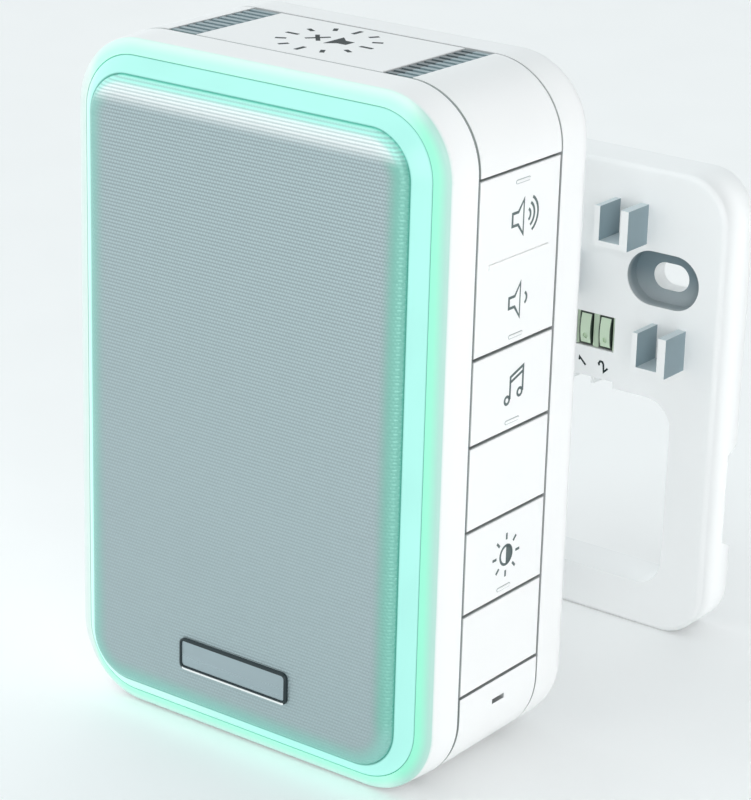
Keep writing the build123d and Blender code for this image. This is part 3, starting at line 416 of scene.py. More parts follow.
shade_group.links.new(mask, shade_out.inputs["Mask"])

film, film_in, film_out = new_group(
    "handling_film", {"Roughness": 0.4, "Amount": 0.06},
    {"Roughness": "NodeSocketFloat", "Mask": "NodeSocketFloat"})
patches = ramp(film, noise(film, 60.0, 5.0), 0.42, 0.7)
filmed = maths(film, "MULTIPLY_ADD", patches, film_in.outputs["Amount"], film_in.outputs["Roughness"])
film.links.new(filmed, film_out.inputs["Roughness"])
film.links.new(patches, film_out.inputs["Mask"])
print("shared effects:", [group.name for group in bpy.data.node_groups])

# %% [markdown]
# ## Materials
# Each slot of the record gets one material. The plain ones differ only by colour, gloss and grain,
# so one function makes them. What glows and what is shaded comes after them, one by one.


# %% Make the plain materials
def plain(name, colour, roughness, metallic=0.0, grain_scale=GRAIN, grain_depth=0.25, amount=0.06):
    """A material with fine grain and an uneven film over one colour."""
    material = bpy.data.materials.new(name)
    material.use_nodes = True
    tree = material.node_tree
    shader = tree.nodes["Principled BSDF"]
    surface = use(tree, grain)
    surface.inputs["Scale"].default_value = grain_scale
    surface.inputs["Depth"].default_value = grain_depth
    wear = use(tree, film)
    wear.inputs["Roughness"].default_value = roughness
    wear.inputs["Amount"].default_value = amount
    shader.inputs["Metallic"].default_value = metallic
    tree.links.new(shaded(tree, colour, surface.outputs["Shade"]), shader.inputs["Base Color"])
    tree.links.new(wear.outputs["Roughness"], shader.inputs["Roughness"])
    tree.links.new(surface.outputs["Normal"], shader.inputs["Normal"])
    return material


def paint_seam_shade(material):
    """Paints shade on the walls of the seams and on a strip beside the front seam, where little light
    comes.
    """
    blend_base(material, use(material.node_tree, shade_group).outputs["Mask"], SEAM_PAINTED_SHADE)
    return material


WHITE = (0.88, 0.885, 0.885)
LEVER_GREEN = (0.6, 0.74, 0.56)
VENT_GREY = (0.27, 0.36, 0.39)
# Painted shade for the seams, the colour of a gap that little light reaches.
SEAM_PAINTED_SHADE = (0.12, 0.145, 0.15)
finishes = {
    "white_case": paint_seam_shade(plain("white_case", WHITE, 0.38)),
    "frame_grey": plain("frame_grey", (0.4, 0.46, 0.47), 0.5),
    "vent_grey": plain("vent_grey", VENT_GREY, 0.4),
    "circuit_board": plain("circuit_board", (0.01, 0.075, 0.03), 0.35, 0.0, 1500.0),
    "led_body": plain("led_body", (0.8, 0.8, 0.66), 0.3),
    "black_part": plain("black_part", (0.02, 0.02, 0.022), 0.42),
    "plunger_plastic": plain("plunger_plastic", (0.05, 0.05, 0.05), 0.4),
    "black_metal": plain("black_metal", (0.02, 0.02, 0.022), 0.35, 0.3, 2500.0, 0.4),
    "magnet_ferrite": plain("magnet_ferrite", (0.06, 0.06, 0.065), 0.6, 0.4, 2500.0, 0.5),
    "soft_rubber": plain("soft_rubber", (0.03, 0.03, 0.03), 0.75, 0.0, 3000.0, 0.4),
    "cone_paper": plain("cone_paper", (0.035, 0.035, 0.04), 0.85, 0.0, 2200.0, 0.6),
    "terminal_green": plain("terminal_green", LEVER_GREEN, 0.36),
}


# %% Make the metals
def metal(name, colour):
    """Brushed metal of one colour."""
    material = bpy.data.materials.new(name)
    material.use_nodes = True
    tree = material.node_tree
    shader = tree.nodes["Principled BSDF"]
    lines = use(tree, brushed)
    shader.inputs["Metallic"].default_value = 1.0
    shader.inputs["Base Color"].default_value = (*colour, 1)
    tree.links.new(lines.outputs["Roughness"], shader.inputs["Roughness"])
    tree.links.new(lines.outputs["Normal"], shader.inputs["Normal"])
    return material


finishes["steel"] = metal("steel", (0.56, 0.57, 0.58))
finishes["contact_brass"] = metal("contact_brass", (0.72, 0.52, 0.2))
finishes["badge_metal"] = metal("badge_metal", (0.41, 0.49, 0.52))
print("plain finishes:", len(finishes))

# %% [markdown]
# ## Finish of the light ring
# The ring is clouded plastic with light behind it. Lamps inside the box would make it glow, but would
# also leak and be slow, so the material itself gives off light. Both edges glow less and carry
# painted shade, where the plastic goes into its channel, and the left side and the lower left corner
# carry painted light, which makes them paler. The inset group says how far a point is from the box's
# outline, so the edges follow the round corners.

# %% Make the material of the light ring
# Painted light: the pale colour on the left side and the lower left corner. Painted shade: the edge
# colour at both edges.
RING_BASE = (0.18, 0.36, 0.32)
RING_PAINTED_LIGHT = (0.42, 0.4, 0.39)
RING_EDGE_SHADE = (0.16, 0.42, 0.36)
RING_LIGHT = (0.26, 0.57, 0.52, 1)
PAINTED_LIGHT_SIDE = (-30.5 * MM, -34 * MM)
LOW_LEFT = (10 * MM, -20 * MM)
LOW_HEIGHTS = (9 * MM, 5.5 * MM)
RING_SOFTENING = 0.12
RING_INNER = (0.16, 0.42)

ring_material = bpy.data.materials.new("halo_diffuser")
ring_material.use_nodes = True
ring_shader = ring_material.node_tree.nodes["Principled BSDF"]
ring_shader.inputs["Roughness"].default_value = 0.32
ring_shader.inputs["Emission Color"].default_value = RING_LIGHT
ring_tree = ring_material.node_tree
ring_place = use(ring_tree, inset_group).outputs["Millimetres"]
cloud = ramp(ring_tree, noise(ring_tree, 70.0, 1.0), 0.3, 0.7, 0.96, 1.04)
from_outside = ramp(ring_tree, ring_place, ring_inset / MM, ring_inset / MM + RING_SOFTENING)
from_inside = ramp(ring_tree, ring_place, *(mesh_inset / MM - step for step in RING_INNER))
edge_light = maths(ring_tree, "MULTIPLY", from_outside, from_inside)
ring_x = point_axis(ring_tree, "X")
low_left_light = product(ring_tree, ramp(ring_tree, point_axis(ring_tree, "Z"), *LOW_HEIGHTS),
                   ramp(ring_tree, ring_x, *LOW_LEFT, 0.0, 0.8))
painted_light_share = maths(ring_tree, "MAXIMUM", ramp(ring_tree, ring_x, *PAINTED_LIGHT_SIDE), low_left_light)
ring_colour = blend_colour(ring_tree, painted_light_share, RING_BASE, RING_PAINTED_LIGHT)
ring_colour = blend_colour(ring_tree, edge_light, RING_EDGE_SHADE, ring_colour)
ring_tree.links.new(ring_colour, ring_shader.inputs["Base Color"])
glow_share = maths(ring_tree, "MULTIPLY_ADD", edge_light, 0.75, 0.25)
ring_glow = maths(ring_tree, "MULTIPLY", cloud, glow_share)
ring_tree.links.new(ring_glow, ring_shader.inputs["Emission Strength"])
finishes["halo_diffuser"] = ring_material

# %% [markdown]
# ## Finish of the front cover
# The ring's glow on the slope of the cover beside it is painted on, as colour and as a faint light
# given off. It is strongest at the ring and gone a few millimetres away, and greener at the right. A
# ramp on the inset mixes the painted colours and the painted glow.

# %% Make the material of the front cover
# Painted light: these colours are the ring's glow painted on the slope, at the outline and further
# in.
SLOPE_GLOW_PAINT = (0.52, 0.86, 0.74)
SLOPE_GLOW_PAINT_RIGHT = (0.33, 0.75, 0.57)
SLOPE_EDGE_GLOW_PAINT = (0.72, 0.87, 0.83)
SLOPE_EDGE_GLOW_PAINT_RIGHT = (0.45, 0.62, 0.58)
SLOPE_START = (0.34, 0.46)
SLOPE_LIGHT = (0.0, 0.16, 0.09, 1)
SLOPE_COLOURS = (0.4, 2.3)
SLOPE_GLOW = (0.4, 2.9)
RIGHT_SIDE = (28 * MM, 33 * MM)
LEFT_SLOPE = (-34.2 * MM, -31.5 * MM)

cover_material = plain("white_case_lit", WHITE, 0.38)
cover_tree = cover_material.node_tree
cover_shader = cover_tree.nodes["Principled BSDF"]
cover_place = use(cover_tree, inset_group).outputs["Millimetres"]
right_share = ramp(cover_tree, point_axis(cover_tree, "X"), *RIGHT_SIDE)
outer_colour = blend_colour(cover_tree, right_share, SLOPE_EDGE_GLOW_PAINT, SLOPE_EDGE_GLOW_PAINT_RIGHT)
inner_colour = blend_colour(cover_tree, right_share, SLOPE_GLOW_PAINT, SLOPE_GLOW_PAINT_RIGHT)
inwards = ramp(cover_tree, cover_place, *SLOPE_COLOURS)
slope_glow_colour = blend_colour(cover_tree, inwards, outer_colour, inner_colour)
on_slope = ramp(cover_tree, cover_place, *SLOPE_START)
glow_paint_share = ramp(cover_tree, point_axis(cover_tree, "X"), *LEFT_SLOPE, 0.3, 1.0)
glow_paint = maths(cover_tree, "MULTIPLY", glow_paint_share, on_slope)
glow_painted = blend_colour(cover_tree, glow_paint, WHITE, slope_glow_colour)
cover_tree.links.new(glow_painted, cover_shader.inputs["Base Color"])
paint_seam_shade(cover_material)
# The light given off here is painted glow from the ring.
cover_shader.inputs["Emission Color"].default_value = SLOPE_LIGHT
cover_glow = product(cover_tree, glow_paint, ramp(cover_tree, cover_place, *SLOPE_GLOW, 0.5, 1.0))
cover_tree.links.new(cover_glow, cover_shader.inputs["Emission Strength"])

# %% [markdown]
# ## Finish of the speaker cover
# The cover is grey cloth of metal threads. The weave group gives its rows, and their contrast grows
# towards the top as painted grazing light. The rim is painted with the ring's glow, in colour and in
# light given off, paler at the left and at the bottom, and the roll at the top carries a painted
# white highlight on its rows, mint as painted glow next to the ring. Each share is a ramp on the
# inset or on the height.

# %% Make the material of the speaker cover
# Painted light: the white and mint colours of the top roll are a painted highlight and a painted
# glow, and the rim colours are the ring's glow painted on.
MESH_GREY = (0.375, 0.465, 0.485)
MESH_HIGHLIGHT_PAINT = (0.92, 0.96, 0.96)
ROLL_GLOW_PAINT = (0.45, 0.84, 0.74)
ROLL_HEIGHTS = (mesh_high.z - 5.2 * MM, mesh_high.z - 2.4 * MM)
ROLL_COLOURS = (0.6, 1.5)
RIM_GLOW_PAINT = (0.23, 0.45, 0.39)
RIM_GLOW_PAINT_LEFT = (0.3, 0.49, 0.46)
RIM_LIGHT = (0.0, 0.12, 0.09, 1)
RIM_GLOW = (3.4, 0.0)
RIM_COLOUR = (4.1, 1.3)
LEFT_RIM = (-20 * MM, -28 * MM)
LOW_RIM = (16 * MM, 10 * MM)
CLOTH_HEIGHTS = (20 * MM, 100 * MM)
CLOTH_CONTRAST = (0.12, 0.3)

mesh_material = plain("grille_mesh", MESH_GREY, 0.36, 0.3, 4000.0, 0.15)
mesh_tree = mesh_material.node_tree
mesh_shader = mesh_tree.nodes["Principled BSDF"]
cloth = use(mesh_tree, weave)
from_outline = use(mesh_tree, inset_group).outputs["Millimetres"]
mesh_place = maths(mesh_tree, "SUBTRACT", from_outline, mesh_inset / MM)
mesh_shader.inputs["Emission Color"].default_value = RIM_LIGHT
# The light given off at the rim is painted glow from the ring.
rim_glow = ramp(mesh_tree, mesh_place, *RIM_GLOW)
mesh_tree.links.new(rim_glow, mesh_shader.inputs["Emission Strength"])
mesh_z = point_axis(mesh_tree, "Z")
# The weave's contrast grows towards the top as painted grazing light.
contrast = ramp(mesh_tree, mesh_z, *CLOTH_HEIGHTS, *CLOTH_CONTRAST)
mesh_tree.links.new(contrast, cloth.inputs["Contrast"])
on_top_roll = ramp(mesh_tree, mesh_z, *ROLL_HEIGHTS)
rim_share = product(mesh_tree, ramp(mesh_tree, mesh_place, *RIM_COLOUR),
                    maths(mesh_tree, "SUBTRACT", 1.0, on_top_roll))
painted_pale_rim = maths(mesh_tree, "MAXIMUM", ramp(mesh_tree, point_axis(mesh_tree, "X"), *LEFT_RIM),
                 ramp(mesh_tree, mesh_z, *LOW_RIM))
painted_rim_colour = blend_colour(mesh_tree, painted_pale_rim, RIM_GLOW_PAINT, RIM_GLOW_PAINT_LEFT)
mesh_shade = shaded(mesh_tree, MESH_GREY, cloth.outputs["Shade"])
roll_share = ramp(mesh_tree, mesh_place, *ROLL_COLOURS)
roll_highlight_colour = blend_colour(mesh_tree, roll_share, ROLL_GLOW_PAINT, MESH_HIGHLIGHT_PAINT)
row_light = maths(mesh_tree, "MULTIPLY_ADD", cloth.outputs["Rows"], 0.55, 0.45)
highlight = maths(mesh_tree, "MULTIPLY", on_top_roll, row_light)
mesh_colour = blend_colour(mesh_tree, rim_share, mesh_shade, painted_rim_colour)
mesh_colour = blend_colour(mesh_tree, highlight, mesh_colour, roll_highlight_colour)
mesh_tree.links.new(mesh_colour, mesh_shader.inputs["Base Color"])
mesh_tree.links.new(cloth.outputs["Normal"], mesh_shader.inputs["Normal"])
finishes["grille_mesh"] = mesh_material

# %% [markdown]
# ## Inks and floor
# The inks are plain and dull, and the top one shines least, because the sky would whiten it. The
# floor gives off a little light to what sees it, which keeps the backdrop pale and even.

# %% Make the inks and the floor
FLOOR_GLOW = 0.1
ink = plain("side_ink", (0.09, 0.125, 0.125), 0.5, 0.0, GRAIN, 0.1)
dark_ink = plain("top_ink", (0.018, 0.03, 0.032), 0.5, 0.0, GRAIN, 0.1)
dark_ink.node_tree.nodes["Principled BSDF"].inputs["Specular IOR Level"].default_value = 0.15
floor_material = plain("pale_floor", (0.92, 0.93, 0.93), 0.7, 0.0, 300.0, 0.05)
floor_tree = floor_material.node_tree
ray = floor_tree.nodes.new("ShaderNodeLightPath")
seen = maths(floor_tree, "MAXIMUM", ray.outputs["Is Camera Ray"], ray.outputs["Is Glossy Ray"])
seen = maths(floor_tree, "MAXIMUM", seen, ray.outputs["Is Transmission Ray"])
floor_shader = floor_tree.nodes["Principled BSDF"]
floor_shader.inputs["Emission Color"].default_value = (0.98, 1, 1, 1)
floor_glow = maths(floor_tree, "MULTIPLY", seen, FLOOR_GLOW)
floor_tree.links.new(floor_glow, floor_shader.inputs["Emission Strength"])
floor.data.materials.append(floor_material)

# %% [markdown]
# ## Materials with painted shade
# Some places of the real plate, terminals and keys lie darker than soft light alone makes them: the
# right walls and tops of the clips, the recesses for the screws, the gaps round the levers, the
# terminal wells, the left side of a vent strip, the underside of the volume key's ridge and the foot
# of the raised marks. Shade is painted there: a mask on where a point is, and on the way its face
# points, blends the base colour. The painted shade belongs to the object and not to the camera, so it
# holds from every side.

# %% Make the material of the wall plate
PLATE_WHITE = (0.93, 0.94, 0.94)
CLIP_SHADE = (0.27, 0.36, 0.4)
CLIP_TOP_SHADE = (0.6, 0.68, 0.71)
CLIP_START = 0.05 * MM
TURNED = (0.25, 0.8)
RECESS_SHADE = (0.17, 0.235, 0.265)
RECESS_RADIUS = 5.05 * MM
RECESS_STRAIGHT = 2.4 * MM
RECESS_MIDDLE = 1.65 * MM
RECESS_HALF = 1.45 * MM
RECESS_FADE = 1.8 * MM
RECESS_BELOW = 5 * MM
RECESS_ABOVE = 2 * MM

screws = next(mount for mount in record["mounts"] if mount["name"] == "wall_screws")
plate_material = plain("plate_white", PLATE_WHITE, 0.4)
plate_tree = plate_material.node_tree
plate_y = point_axis(plate_tree, "Y")
# Painted shade on the right walls and on the tops of the clips.
on_clips = maths(plate_tree, "LESS_THAN", plate_y, plate_face - CLIP_START)
turned_right = ramp(plate_tree, facing_axis(plate_tree, "X"), *TURNED)
blend_base(plate_material, product(plate_tree, on_clips, turned_right), CLIP_SHADE)
turned_up = ramp(plate_tree, facing_axis(plate_tree, "Z"), *TURNED)
blend_base(plate_material, product(plate_tree, on_clips, turned_up), CLIP_TOP_SHADE)
# Painted shade in the screw recesses, stronger deeper in and towards the top.
screw_x = screws["dims"]["spacing_x_mm"] / 2 * MM
screw_z = screws["pos_m"][2]
from_middle = maths(plate_tree, "ABSOLUTE", point_axis(plate_tree, "X"))
from_screw = maths(plate_tree, "SUBTRACT", from_middle, screw_x)
beside_screw = maths(plate_tree, "ABSOLUTE", from_screw)
past_straight = maths(plate_tree, "SUBTRACT", beside_screw, RECESS_STRAIGHT)
round_end = maths(plate_tree, "POWER", maths(plate_tree, "MAXIMUM", past_straight, 0.0), 2.0)
from_level = maths(plate_tree, "SUBTRACT", point_axis(plate_tree, "Z"), screw_z)
level_square = maths(plate_tree, "POWER", from_level, 2.0)
recess_reach = maths(plate_tree, "SQRT", maths(plate_tree, "ADD", round_end, level_square))
in_recess = product(plate_tree, within(plate_tree, plate_y, plate_face + RECESS_MIDDLE, RECESS_HALF),
                    maths(plate_tree, "LESS_THAN", recess_reach, RECESS_RADIUS))
recess_depth = ramp(plate_tree, plate_y, plate_face, plate_face + RECESS_FADE, 0.65, 1.0)
recess_height = ramp(plate_tree, point_axis(plate_tree, "Z"), screw_z - RECESS_BELOW,
                     screw_z + RECESS_ABOVE, 0.72, 1.0)
recess = product(plate_tree, in_recess, recess_depth, recess_height)
blend_base(plate_material, recess, RECESS_SHADE)


# %% Define the finishes of the levers and the vent strip
LEVER_EDGE = 0.22 * MM
LEVER_PINS = 0.62 * MM
# Painted shade for the gaps round the levers and inside the terminal wells.
WELL_PAINTED_SHADE = (0.02, 0.035, 0.025)
VENT_PAINTED_SHADE = (0.12, 0.155, 0.17)
VENT_SHADE_SHARE = 0.4


def lever_finish(node):
    """The lever's green, with painted shade along its four sides, where the gap to the block is in
    shadow.
    """
    low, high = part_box(node)
    middle = (low + high) / 2
    half = (high - low) / 2
    material = plain(node + "_green", LEVER_GREEN, 0.36)
    tree = material.node_tree
    inside = product(
        tree, within(tree, point_axis(tree, "X"), middle.x, half.x - LEVER_PINS - LEVER_EDGE),
        within(tree, point_axis(tree, "Z"), middle.z, half.z - LEVER_EDGE))
    blend_base(material, maths(tree, "SUBTRACT", 1.0, inside), WELL_PAINTED_SHADE)
    return material


def vent_finish(node):
    """The strip's grey, with painted shade on a smooth band along its left side, before the ribs
    begin.
    """
    low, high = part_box(node)
    material = plain(node + "_grey", VENT_GREY, 0.4)
    tree = material.node_tree
    # Painted shade on the left share of the strip.
    shade_end = low.x + (high.x - low.x) * VENT_SHADE_SHARE
    blend_base(material, maths(tree, "LESS_THAN", point_axis(tree, "X"), shade_end), VENT_PAINTED_SHADE)
    return material


# %% Make the material of the terminal block
BLOCK_GREEN = (0.5, 0.62, 0.47)
WELL_WALL = 0.15 * MM
WELL_START = (plate_face + 0.55 * MM, plate_face + 0.9 * MM)

# Painted shade inside the terminal wells, behind the block's front.
well_material = plain("terminal_well", BLOCK_GREEN, 0.4)
well_tree = well_material.node_tree
well_y = point_axis(well_tree, "Y")
block_middle = (block_low + block_high) / 2
block_half = (block_high - block_low) / 2
in_well = product(
    well_tree, ramp(well_tree, well_y, *WELL_START),
    within(well_tree, point_axis(well_tree, "X"), block_middle.x, block_half.x - WELL_WALL),
    within(well_tree, point_axis(well_tree, "Z"), block_middle.z, block_half.z - WELL_WALL),
    maths(well_tree, "LESS_THAN", well_y, block_high.y - WELL_WALL))
blend_base(well_material, in_well, WELL_PAINTED_SHADE)

# %% Make the materials of the marks and the volume key
MARK_SHADE = (0.42, 0.46, 0.47)
RIDGE_LEVEL = 87.4 * MM
RIDGE_REACH = 1.6 * MM
TURNED_DOWN = (-0.15, -0.5)

# Painted shade for the foot of the raised marks.
mark_shade_material = plain("mark_groove", MARK_SHADE, 0.45)
rocker_material = paint_seam_shade(plain("rocker_white", WHITE, 0.38))
rocker_tree = rocker_material.node_tree
# Painted shade on the faces turned down under the ridge between the volume signs.
under_ridge_shade = product(
    rocker_tree, within(rocker_tree, point_axis(rocker_tree, "Z"), RIDGE_LEVEL, RIDGE_REACH),
    ramp(rocker_tree, facing_axis(rocker_tree, "Z"), *TURNED_DOWN))
blend_base(rocker_material, under_ridge_shade, MARK_SHADE)
print("materials:", len(bpy.data.materials))

# %% [markdown]
# ## Give out the materials
# The record names a slot for every node, and each slot has its finish. The nodes with a finish of
# their own, with painted shade or painted glow, take it in place of their slot's.

# %% Give every node its material
slot_of = {part["node"]: part["material_slot"] for part in record["subparts"]}
for name, node in frame["nodes"].items():
    node.data.materials.clear()
    node.data.materials.append(finishes[slot_of[name]])
own_finishes = {"front_bezel": cover_material, "wall_plate": plate_material,
                "terminal_block": well_material, "volume_rocker": rocker_material,
                "vent_strip_right": vent_finish("vent_strip_right")}
for name in ("terminal_lever_1", "terminal_lever_2"):
    own_finishes[name] = lever_finish(name)
for name, material in own_finishes.items():
    frame["nodes"][name].data.materials.clear()
    frame["nodes"][name].data.materials.append(material)
print("slots in use:", len(set(slot_of.values())))

# %% [markdown]
# ## Lofts round an outline
# The ring, the nameplate and the signs are all a closed loop of edges that is extruded from place to
# place. The ring and the nameplate follow a rounded rectangle, and each point of it is kept with its
# inward direction, so that an inset is one step along that direction. Every vertex of a loft carries
# a number, which an extrusion copies, so that it finds its place in the next ring.


# %% Define rounded rectangles and lofts
def rounded_outline(width, height, radius, middle, corner_steps):
    """Points of a rounded rectangle in X and Z, each with its inward direction."""
    points = []
    for sx, sz, start in ((1, -1, 270), (1, 1, 0), (-1, 1, 90), (-1, -1, 180)):
        centre = Vector((sx * (width / 2 - radius), middle + sz * (height / 2 - radius)))
        for i in range(corner_steps + 1):
            angle = radians(start + 90 * i / corner_steps)
            out = Vector((cos(angle), sin(angle)))
            points.append((centre + out * radius, -out))
    return points


def swept(outline, profile):
    """The places of an outline at each inset and depth of a profile."""
    rings = []
    for inset, y in profile:
        places = [point + inward * inset for point, inward in outline]
        rings.append([Vector((place.x, y, place.y)) for place in places])
    return rings


def of_kind(made, kind):
    """The vertices, edges or faces among what an operator made."""
    return [item for item in made if isinstance(item, kind)]


def loft(work, rings, closed=False):
    """Extrudes a loop from ring to ring, then fills its ends or joins them; returns the bands."""
    number = work.verts.layers.int.get("number") or work.verts.layers.int.new("number")
    verts = [work.verts.new(place) for place in rings[0]]
    for i, vert in enumerate(verts):
        vert[number] = i
    first = [work.edges.new((verts[i - 1], vert)) for i, vert in enumerate(verts)]
    last = first
    bands = []
    for ring in rings[1:]:
        made = bmesh.ops.extrude_edge_only(work, edges=last)["geom"]
        for vert in of_kind(made, bmesh.types.BMVert):
            vert.co = ring[vert[number]]
        last = of_kind(made, bmesh.types.BMEdge)
        bands.append(of_kind(made, bmesh.types.BMFace))
    if closed:
        bmesh.ops.bridge_loops(work, edges=first + last)
    else:
        for end in (first, last):
            bands.append(bmesh.ops.contextual_create(work, geom=end)["faces"])
    return bands


def finish_piece(name, work, material, body, smooth=True, more_materials=()):
    """Turns the working mesh into a piece that rides on a body."""
    bmesh.ops.recalc_face_normals(work, faces=work.faces)
    for face in work.faces:
        face.smooth = smooth
    data = bpy.data.meshes.new(name)
    work.to_mesh(data)
    work.free()
    for finish in (material, *more_materials):
        data.materials.append(finish)
    piece = bpy.data.objects.new(name, data)
    scene.collection.objects.link(piece)
    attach(piece, body)
    print(name, "triangles:", sum(len(p.vertices) - 2 for p in data.polygons))
    return piece


# %% [markdown]
# ## Light ring
# The ring's front slopes up to the speaker cover. Its two front edges are rounded, because a moulded
# diffuser has no sharp edge, and the soft edges catch the light as two thin lines.

# %% Build the light ring
RING_ROUND = 0.25 * MM
RING_GAP = 0.1 * MM
RING_CORNER_STEPS = 24
outer_inset = ring_inset
inner_inset = mesh_inset - RING_GAP
y_outer = -19.04 * MM
y_back = ring_high.y
y_top = ring_low.y
profile = [(outer_inset, y_back), (outer_inset, y_outer + RING_ROUND / 2),
           (outer_inset + RING_ROUND / 3, y_outer - RING_ROUND / 4),
           (outer_inset + RING_ROUND * 1.2, y_outer - RING_ROUND),
           (inner_inset - RING_ROUND * 1.5, y_top + RING_ROUND / 2),
           (inner_inset - RING_ROUND / 2, y_top),
           (inner_inset, y_top + RING_ROUND),
           (inner_inset, y_back)]
work = bmesh.new()
box_outline = rounded_outline(box_width, box_height, CORNER_RADIUS, box_middle, RING_CORNER_STEPS)
loft(work, swept(box_outline, profile), closed=True)
ring_piece = finish_piece("lit_ring", work, ring_material, "chime_box")
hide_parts("halo_ring")

# %% [markdown]
# ## Speaker cover
# The cover is a fine woven mesh. A grid with two points to each thread is bent to the cover's form:
# a roll along the edge and a slight crown. Every second point in a checkerboard is raised, which
# gives the over and under of the weave. Points past the rounded outline are drawn onto it, and the
# skirt is pulled back from that edge into the channel beside the ring.

# %% Define the form of the speaker cover
WEAVE = 0.035 * MM
ROLL_WIDTH = 3.6 * MM
ROLL_RISE = 1.5 * MM
CROWN = 0.45 * MM
COVER_WALL = 0.7 * MM
CHANNEL_DEPTH = 1.8 * MM
cover_width = mesh_high.x - mesh_low.x
cover_height = mesh_high.z - mesh_low.z
cover_radius = CORNER_RADIUS - mesh_inset
y_rim = ring_low.y
y_front = y_rim - ROLL_RISE


def outline_distance(x, z):
    """Distance inside the cover's outline, and the direction outwards there."""
    ax = abs(x) - (cover_width / 2 - cover_radius)
    az = abs(z - box_middle) - (cover_height / 2 - cover_radius)
    sx = 1 if x >= 0 else -1
    sz = 1 if z >= box_middle else -1
    if ax > 0 and az > 0:
        reach = sqrt(ax * ax + az * az)
        return cover_radius - reach, Vector((sx * ax / reach, sz * az / reach))
    if ax > az:
        return cover_radius - ax, Vector((sx, 0))
    return cover_radius - az, Vector((0, sz))


def cover_depth(x, z, inset):
    """The cover's front at a point: the roll near the edge, the crown elsewhere."""
    share = min(inset / ROLL_WIDTH, 1)
    roll = y_rim - ROLL_RISE * sqrt(max(0, 1 - (1 - share) ** 2))
    drop = CROWN * (x * x + (z - box_middle) ** 2) / (box_height / 2) ** 2
    return max(roll, y_front + drop)


# %% Build the front of the speaker cover
half_pitch = THREAD_PITCH / 2
columns = ceil(cover_width / half_pitch)
rows = ceil(cover_height / half_pitch)
work = bmesh.new()
cover_middle = (mesh_low + mesh_high) / 2
stretch = Matrix(((cover_width, 0, 0, cover_middle.x), (0, 0, 1, 0),
                  (0, cover_height, 0, cover_middle.z), (0, 0, 0, 1)))
bmesh.ops.create_grid(work, x_segments=columns, y_segments=rows, size=0.5, matrix=stretch)
inset_of = {vert: outline_distance(vert.co.x, vert.co.z) for vert in work.verts}
outer_faces = [face for face in work.faces
               if all(inset_of[vert][0] < half_pitch / 2 for vert in face.verts)]
bmesh.ops.delete(work, geom=outer_faces, context="FACES")
for vert in work.verts:
    inset, out = inset_of[vert]
    x = vert.co.x
    z = vert.co.z
    column = round((x - mesh_low.x) / cover_width * columns)
    row = round((z - mesh_low.z) / cover_height * rows)
    if inset < half_pitch / 2:
        x += out.x * inset
        z += out.y * inset
        inset = 0
    lift = WEAVE if (column + row) % 2 else -WEAVE
    fade = min(inset / ROLL_WIDTH, 1)
    vert.co = Vector((x, cover_depth(x, z, inset) - lift * fade, z))


# %% Pull the skirt back into the channel
def pull(work, edges, y, inset):
    """Extrudes open edges to another depth and inset and returns the new edges."""
    made = bmesh.ops.extrude_edge_only(work, edges=edges)["geom"]
    for vert in of_kind(made, bmesh.types.BMVert):
        deep, out = outline_distance(vert.co.x, vert.co.z)
        vert.co.x -= out.x * (inset - deep)
        vert.co.z -= out.y * (inset - deep)
        vert.co.y = y
    return of_kind(made, bmesh.types.BMEdge)


edges = [edge for edge in work.edges if edge.is_boundary]
edges = pull(work, edges, mesh_high.y, 0.0)
edges = pull(work, edges, mesh_high.y, COVER_WALL)
edges = pull(work, edges, y_rim + CHANNEL_DEPTH, COVER_WALL)
bmesh.ops.contextual_create(work, geom=edges)
cover_piece = finish_piece("woven_cover", work, mesh_material, "chime_box")
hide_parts("speaker_grille")

# %% [markdown]
# ## Nameplate
# The plate is bare: a shallow tray of grey metal with a dark raised rim. A narrow lip runs round it
# on the mesh, and its lower side carries a painted highlight as a bright line. The bands of the loft
# take different finishes, so each band's faces get a material index.

# %% Build the nameplate
badge_width = badge_high.x - badge_low.x
badge_height = badge_high.z - badge_low.z
badge_middle = (badge_low.z + badge_high.z) / 2
LIP = 0.14 * MM
LIP_BELOW = 0.24 * MM
LIP_BACK = 0.16 * MM
RIM = 0.3 * MM
SINK = 0.2 * MM
CHAMFER = 0.08 * MM
BADGE_DEPTH = 1.5 * MM
BADGE_CORNER = 0.9 * MM
BADGE_CORNER_STEPS = 6
FIELD_FINISH, RIM_FINISH, LIP_HIGHLIGHT_FINISH = 0, 1, 2
y_badge = badge_low.y
y_behind = y_badge + BADGE_DEPTH
y_lip = y_badge + LIP_BACK
profile = [(-LIP, y_behind), (-LIP, y_lip), (0, y_lip - CHAMFER), (0, y_badge + CHAMFER),
           (CHAMFER, y_badge), (RIM, y_badge), (RIM + CHAMFER, y_badge + SINK)]
rim_material = plain("badge_rim", (0.018, 0.032, 0.036), 0.35, 0.3, 3000.0, 0.2)
# A painted highlight for the lower side of the lip.
lip_highlight_material = plain("badge_lip", (0.9, 0.92, 0.92), 0.3, 0.0, 3000.0, 0.1)
work = bmesh.new()
badge_outline = rounded_outline(
    badge_width, badge_height, BADGE_CORNER, badge_middle, BADGE_CORNER_STEPS)
rings = swept(badge_outline, profile)
for place in rings[0] + rings[1]:
    if place.z < badge_middle:
        place.z -= LIP_BELOW
bands = loft(work, rings)
# The lower side of the lip takes the painted highlight; the rest of the rim is dark.
for i, band in enumerate(bands[:-1]):
    for face in band:
        below = face.calc_center_median().z < badge_low.z
        face.material_index = LIP_HIGHLIGHT_FINISH if below and i < 2 else RIM_FINISH
bands[-1][0].material_index = FIELD_FINISH
badge_piece = finish_piece(
    "bare_nameplate", work, finishes["badge_metal"], "chime_box", False,
    (rim_material, lip_highlight_material))
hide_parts("badge_plate")

